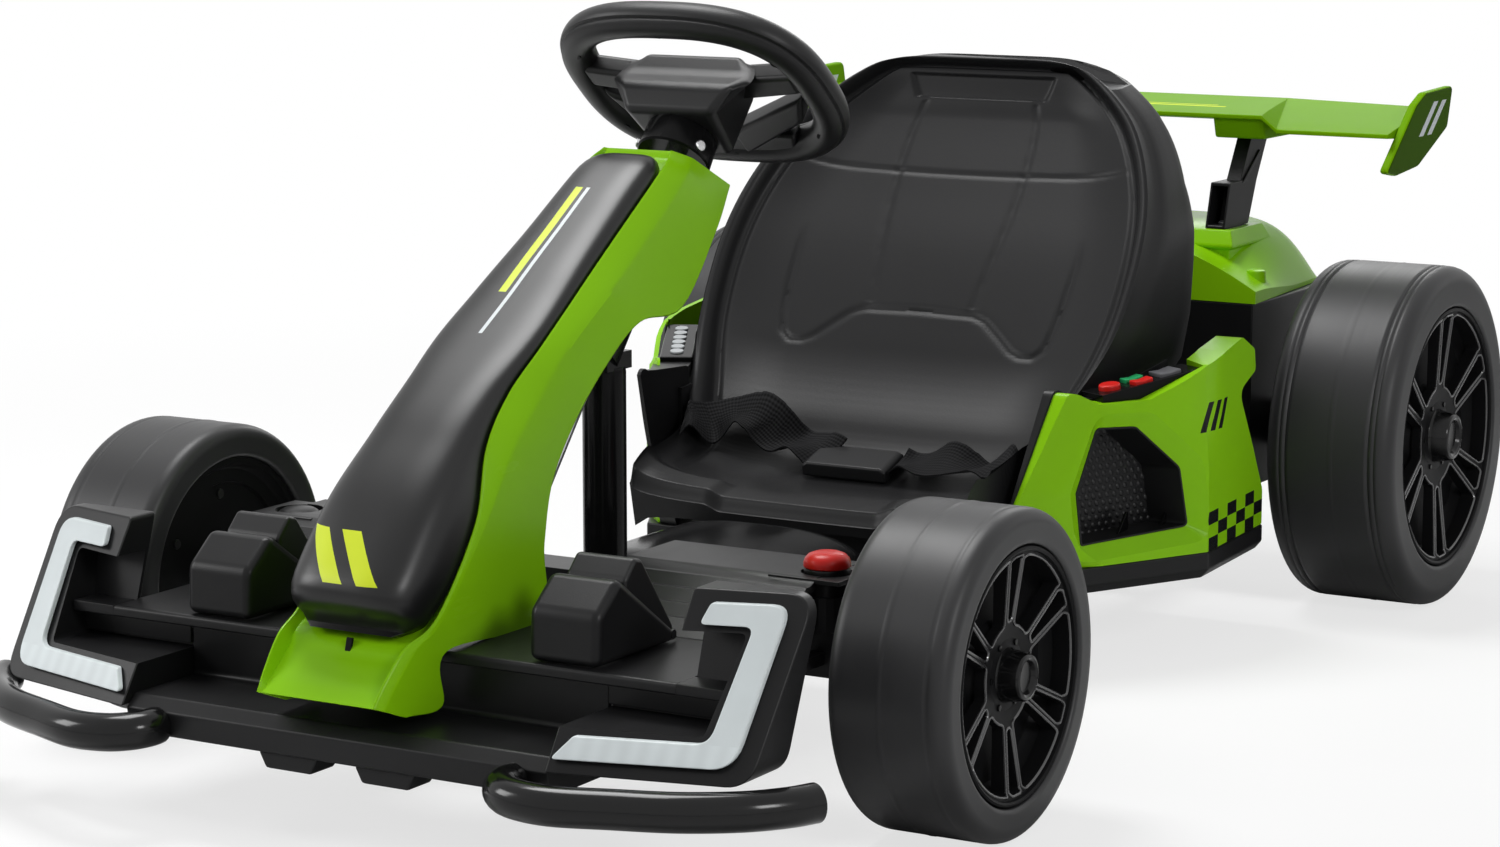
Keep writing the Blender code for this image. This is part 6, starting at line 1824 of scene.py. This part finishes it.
def lid_height(x, y):
    """Height of the lid's dome: an arched front, a fuller vault behind it and a rounded rear."""
    full = ease(y, 0.440, 0.550)
    share = min(1.0, abs(x) / lid_half(y))
    arch = 0.0095 * (1.0 - 0.7 * full) + (0.0500 + 0.0060 * full) * (1.0 - share ** (2.4 + 6.6 * full))
    fall = (1.0 - min(1.0, max(0.0, (y - 0.555) / (LID_REAR - 0.555))) ** 3.0) ** 0.5
    return LID_BASE + 0.0008 + arch * fall


class KART_OT_rear(KartOperator):
    """Rear body, domed lid, struts and wing"""
    bl_idname = "kart.rear"
    bl_label = "Rear and wing"

    def make(self, sizes, context):
        softened("rear_box", "rear_body", "satin", "chassis", 0.0040)
        self.lid()
        for side, word, tag in SIDES:
            self.strut(side, word, tag)
        self.wing()

    def lid(self):
        """Dome with an upright front face, sockets for the struts and a knob beside each."""
        rows = []
        for k in range(65):
            y = LID_FRONT + (LID_REAR - LID_FRONT) * (k / 64.0) ** 0.8
            half = lid_half(y)
            row = [half * math.sin(math.pi * (j / 80.0 - 0.5)) for j in range(81)]
            rows.append([(x, y, lid_height(x, y)) for x in row] + [(half, y, LID_BASE), (-half, y, LID_BASE)])
        parts = [finished(skin(rows), 0.0022, 3, 34.0)]
        for side in (1, -1):
            rings = []
            for level, wide, long in SOCKET_LEVELS:
                rings.append([(STRUT_X - 0.0015 + a, SOCKET_Y + b, level)
                              for a, b in ((-wide, -long), (wide, -long), (wide, long), (-wide, long))])
            parts.append(sided(finished(skin(rings), 0.0016, 3, 20.0), side))
            parts.append(sided(turned(KNOB_PROFILE, KNOB_PLACE, 28), side))
        publish("rear_lid", merged(*parts), "lime", "chassis", ["rear_cover"])

    def strut(self, side, word, tag):
        """Leaning side plate with a rib, in front of it a lower box with an open pocket."""
        plate = rounded(STRUT_PLATE, 0.002, 3)
        upper = finished(prism(plate, "x", STRUT_X - 0.0058, STRUT_X + 0.0072), 0.0014, 3, 30.0)
        case = prism(STRUT_CASE, "x", STRUT_X - 0.0098, STRUT_X + 0.0082)
        pocket = prism(STRUT_POCKET, "x", STRUT_X - 0.0078, STRUT_X + 0.0062)
        lower = finished(cut(case, pocket), 0.0009, 2, 30.0)
        peg = block((STRUT_X - 0.009, 0.4685, 0.2976), (STRUT_X + 0.009, 0.5115, 0.3070))
        rib = finished(prism(STRUT_RIB, "x", STRUT_X - 0.0070, STRUT_X + 0.0088), 0.0008, 2, 30.0)
        publish(f"strut_{word}", sided(merged(upper, lower, rib, peg), side), "satin", "chassis",
                [f"wing_strut_{tag}"])
        screw = finished(bar((0.0, 0.0, -0.002), (0.0, 0.0, 0.0022), 0.0034, 14), 0.0006, 2)
        spots = [((side * STRUT_X, 0.4800, 0.3098), (0.0, -0.25, 1.0))]
        on_spots(f"strut_screw_{word}", spots, screw, "zinc", "chassis")

    def wing(self):
        """Blade with a raised middle, lower outer ends, feet on the struts and leaning end plates."""
        upper = through([(y, top) for y, top, _ in BLADE], 6)
        under = through([(y, low) for y, _, low in BLADE], 6)
        shares = [0.0, 0.3, 0.6, 1.0, 1.01, 1.02, 1.03, 1.07, 1.4, 1.7, 2.0]
        rear = BLADE[-1][0]
        rows = []
        for share in [-share for share in reversed(shares[1:])] + shares:
            ring = []
            for y, z in upper + list(reversed(under)):
                front = max(0.0, min(1.0, (rear - y) / (rear - BLADE[0][0])))
                ring.append(self.blade_point(share, y, z, front))
            rows.append(ring)
        parts = [finished(skin(rows), 0.0012, 3, 34.0)]
        for side in (1, -1):
            foot = finished(prism(WING_FOOT, "x", STRUT_X - 0.015, STRUT_X + 0.031), 0.0020, 3)
            parts.append(sided(foot, side))
            rows = []
            for level in (-PLATE_HALF, PLATE_HALF):
                rows.append([(WING_HALF + level + PLATE_LEAN * b, WING_PLACE[0] + a, WING_PLACE[1] + b)
                             for a, b in rounded(PLATE, PLATE_CORNERS, 6)])
            parts.append(sided(finished(skin(rows), 0.0024, 4, 40.0), side))
        publish("wing", merged(*parts), "wing", "chassis", ["rear_wing"])

    def blade_point(self, share, y, z, front):
        """Point of the blade: share runs from 0 to 1 over the middle, past the step, and to 2 at the tip."""
        edge = 0.158 + 0.018 * front
        size = abs(share)
        step = max(0.0, min(1.0, (size - 1.0) / BLADE_STEP))
        tip = max(0.0, size - 1.0 - BLADE_STEP) / (1.0 - BLADE_STEP)
        if size <= 1.0:
            x = edge * size
        elif size <= 1.0 + BLADE_STEP:
            x = edge + 0.014 * front * step
        else:
            start = edge + 0.014 * front
            x = start + (WING_HALF - 0.003 - start) * tip
        drop = BLADE_DROP * step * front ** 1.1 + 0.0030 * tip * (1.0 - front)
        return (math.copysign(x, share), WING_PLACE[0] + y, WING_PLACE[1] + z - drop)


# Stage

class KART_OT_stage(KartOperator):
    """Pale floor, soft studio light, white surround and the camera"""
    bl_idname = "kart.stage"
    bl_label = "Studio stage"

    def make(self, sizes, context):
        stage = context.scene.kart_stage
        context.scene.view_settings.view_transform = "Standard"
        self.world(context, stage)
        self.floor(stage)
        self.lamp("overhead softbox", (-0.65, 0.1, 2.3), (0.0, 0.0, 0.1), 1.0, 40.0)
        self.lamp("right softbox", (2.3, -1.3, 1.5), (0.0, 0.0, 0.2), 0.6, 20.0)
        self.lamp("left softbox", (-2.1, -1.7, 1.3), (0.0, 0.0, 0.2), 0.9, 27.0)
        self.lamp("rear softbox", (-0.6, 2.6, 1.6), (0.0, 0.2, 0.3), 0.8, 9.0)
        self.camera(context, stage)

    def world(self, context, stage):
        """Even light that the camera and bright surfaces see as white."""
        world = bpy.data.worlds.new("studio surround")
        context.scene.world = world
        world.use_nodes = True
        tree = world.node_tree
        path = tree.nodes.new("ShaderNodeLightPath")
        seen = path.outputs["Is Camera Ray"]
        for ray in ("Is Glossy Ray", "Is Transmission Ray"):
            seen = add_node(tree, "ShaderNodeMath", {"operation": "MAXIMUM"}, {0: seen, 1: path.outputs[ray]})
        level = add_node(tree, "ShaderNodeMix", inputs={0: seen, 2: stage.fill, 3: 1.0})
        background = tree.nodes["Background"]
        feed(tree, background.inputs["Color"], (1.0, 1.0, 1.0, 1.0))
        feed(tree, background.inputs["Strength"], level)

    def floor(self, stage):
        """Pale floor that fades into the white surround and keeps a soft shadow."""
        shape = bmesh.new()
        bmesh.ops.create_circle(shape, cap_ends=True, segments=96, radius=14.0,
                                matrix=Matrix.Translation((0.0, 0.0, -0.0006)))
        made = holder("floor", shape)
        paint = Paint("studio floor", "satin_black_plastic", 0.0)
        x, y, _ = paint.axes(paint.place())
        far = paint.maths("SQRT", x * x + y * y, 0.0)
        fade = paint.node("ShaderNodeMapRange", {"interpolation_type": "SMOOTHSTEP"},
                          {"Value": far, "From Min": 0.5, "From Max": 2.2, "To Min": 0.72, "To Max": 1.0})
        cloud = paint.noise(3.0)
        colour = tuple(stage.floor)
        paint.set(Base_Color=paint.mix(cloud, colour, scaled(colour, 1.03)), Roughness=0.9)
        glow = paint.node("ShaderNodeEmission")
        shown = paint.node("ShaderNodeLightPath", output="Is Camera Ray")
        blend = paint.node("ShaderNodeMixShader",
                           inputs={0: shown * fade, 1: paint.shader.outputs[0], 2: glow})
        paint.feed(paint.tree.nodes["Material Output"].inputs[0], blend)
        made.data.materials.append(paint.material)

    def lamp(self, name, place, aim, size, power):
        """A square softbox turned towards a point."""
        data = bpy.data.lights.new(name, "AREA")
        data.shape = "SQUARE"
        data.size = size
        data.energy = power
        made = linked(name, data)
        made.location = place
        made.rotation_euler = (Vector(aim) - Vector(place)).to_track_quat("-Z", "Y").to_euler()

    def camera(self, context, stage):
        """The photograph's camera."""
        turn = math.radians(stage.azimuth)
        rise = math.radians(stage.elevation)
        back = Vector((math.sin(turn) * math.cos(rise), -math.cos(turn) * math.cos(rise), math.sin(rise)))
        up = Vector((-math.sin(turn) * math.sin(rise), math.cos(turn) * math.sin(rise), math.cos(rise)))
        right = Vector((math.cos(turn), math.sin(turn), 0.0))
        data = bpy.data.cameras.new("photo camera")
        data.lens = stage.lens
        data.sensor_width = 36.0
        data.clip_end = 60.0
        made = linked("photo camera", data)
        made.matrix_world = Matrix.Translation(stage.place) @ Matrix((right, up, back)).transposed().to_4x4()
        context.scene.camera = made


# Add-on

PIECES = (
    KART_OT_stage, KART_OT_tyres, KART_OT_rims, KART_OT_chassis, KART_OT_nose, KART_OT_deck, KART_OT_lamps,
    KART_OT_bumpers, KART_OT_steering, KART_OT_seat, KART_OT_belt, KART_OT_pods, KART_OT_rear,
)
GROUPS = (("kart_colours", KartColours), ("kart_sizes", KartSizes), ("kart_stage", KartStage))


class KART_PT_pieces(bpy.types.Panel):
    """Lists the kart's pieces and settings in the sidebar"""
    bl_idname = "KART_PT_pieces"
    bl_label = "Go Kart"
    bl_space_type = "VIEW_3D"
    bl_region_type = "UI"
    bl_category = "Go Kart"

    def draw(self, context):
        column = self.layout.column(align=True)
        for piece in PIECES:
            column.operator(piece.bl_idname)
        for name, group in GROUPS:
            box = self.layout.box()
            for setting in group.__annotations__:
                box.prop(getattr(context.scene, name), setting)


def register():
    for name, group in GROUPS:
        bpy.utils.register_class(group)
        setattr(bpy.types.Scene, name, PointerProperty(type=group))
    for piece in PIECES:
        bpy.utils.register_class(piece)
    bpy.utils.register_class(KART_PT_pieces)


def unregister():
    bpy.utils.unregister_class(KART_PT_pieces)
    for piece in reversed(PIECES):
        bpy.utils.unregister_class(piece)
    for name, group in reversed(GROUPS):
        delattr(bpy.types.Scene, name)
        bpy.utils.unregister_class(group)


def main():
    register()
    for piece in PIECES:
        group, call = piece.bl_idname.split(".")
        getattr(getattr(bpy.ops, group), call)()


if __name__ == "__main__":
    main()
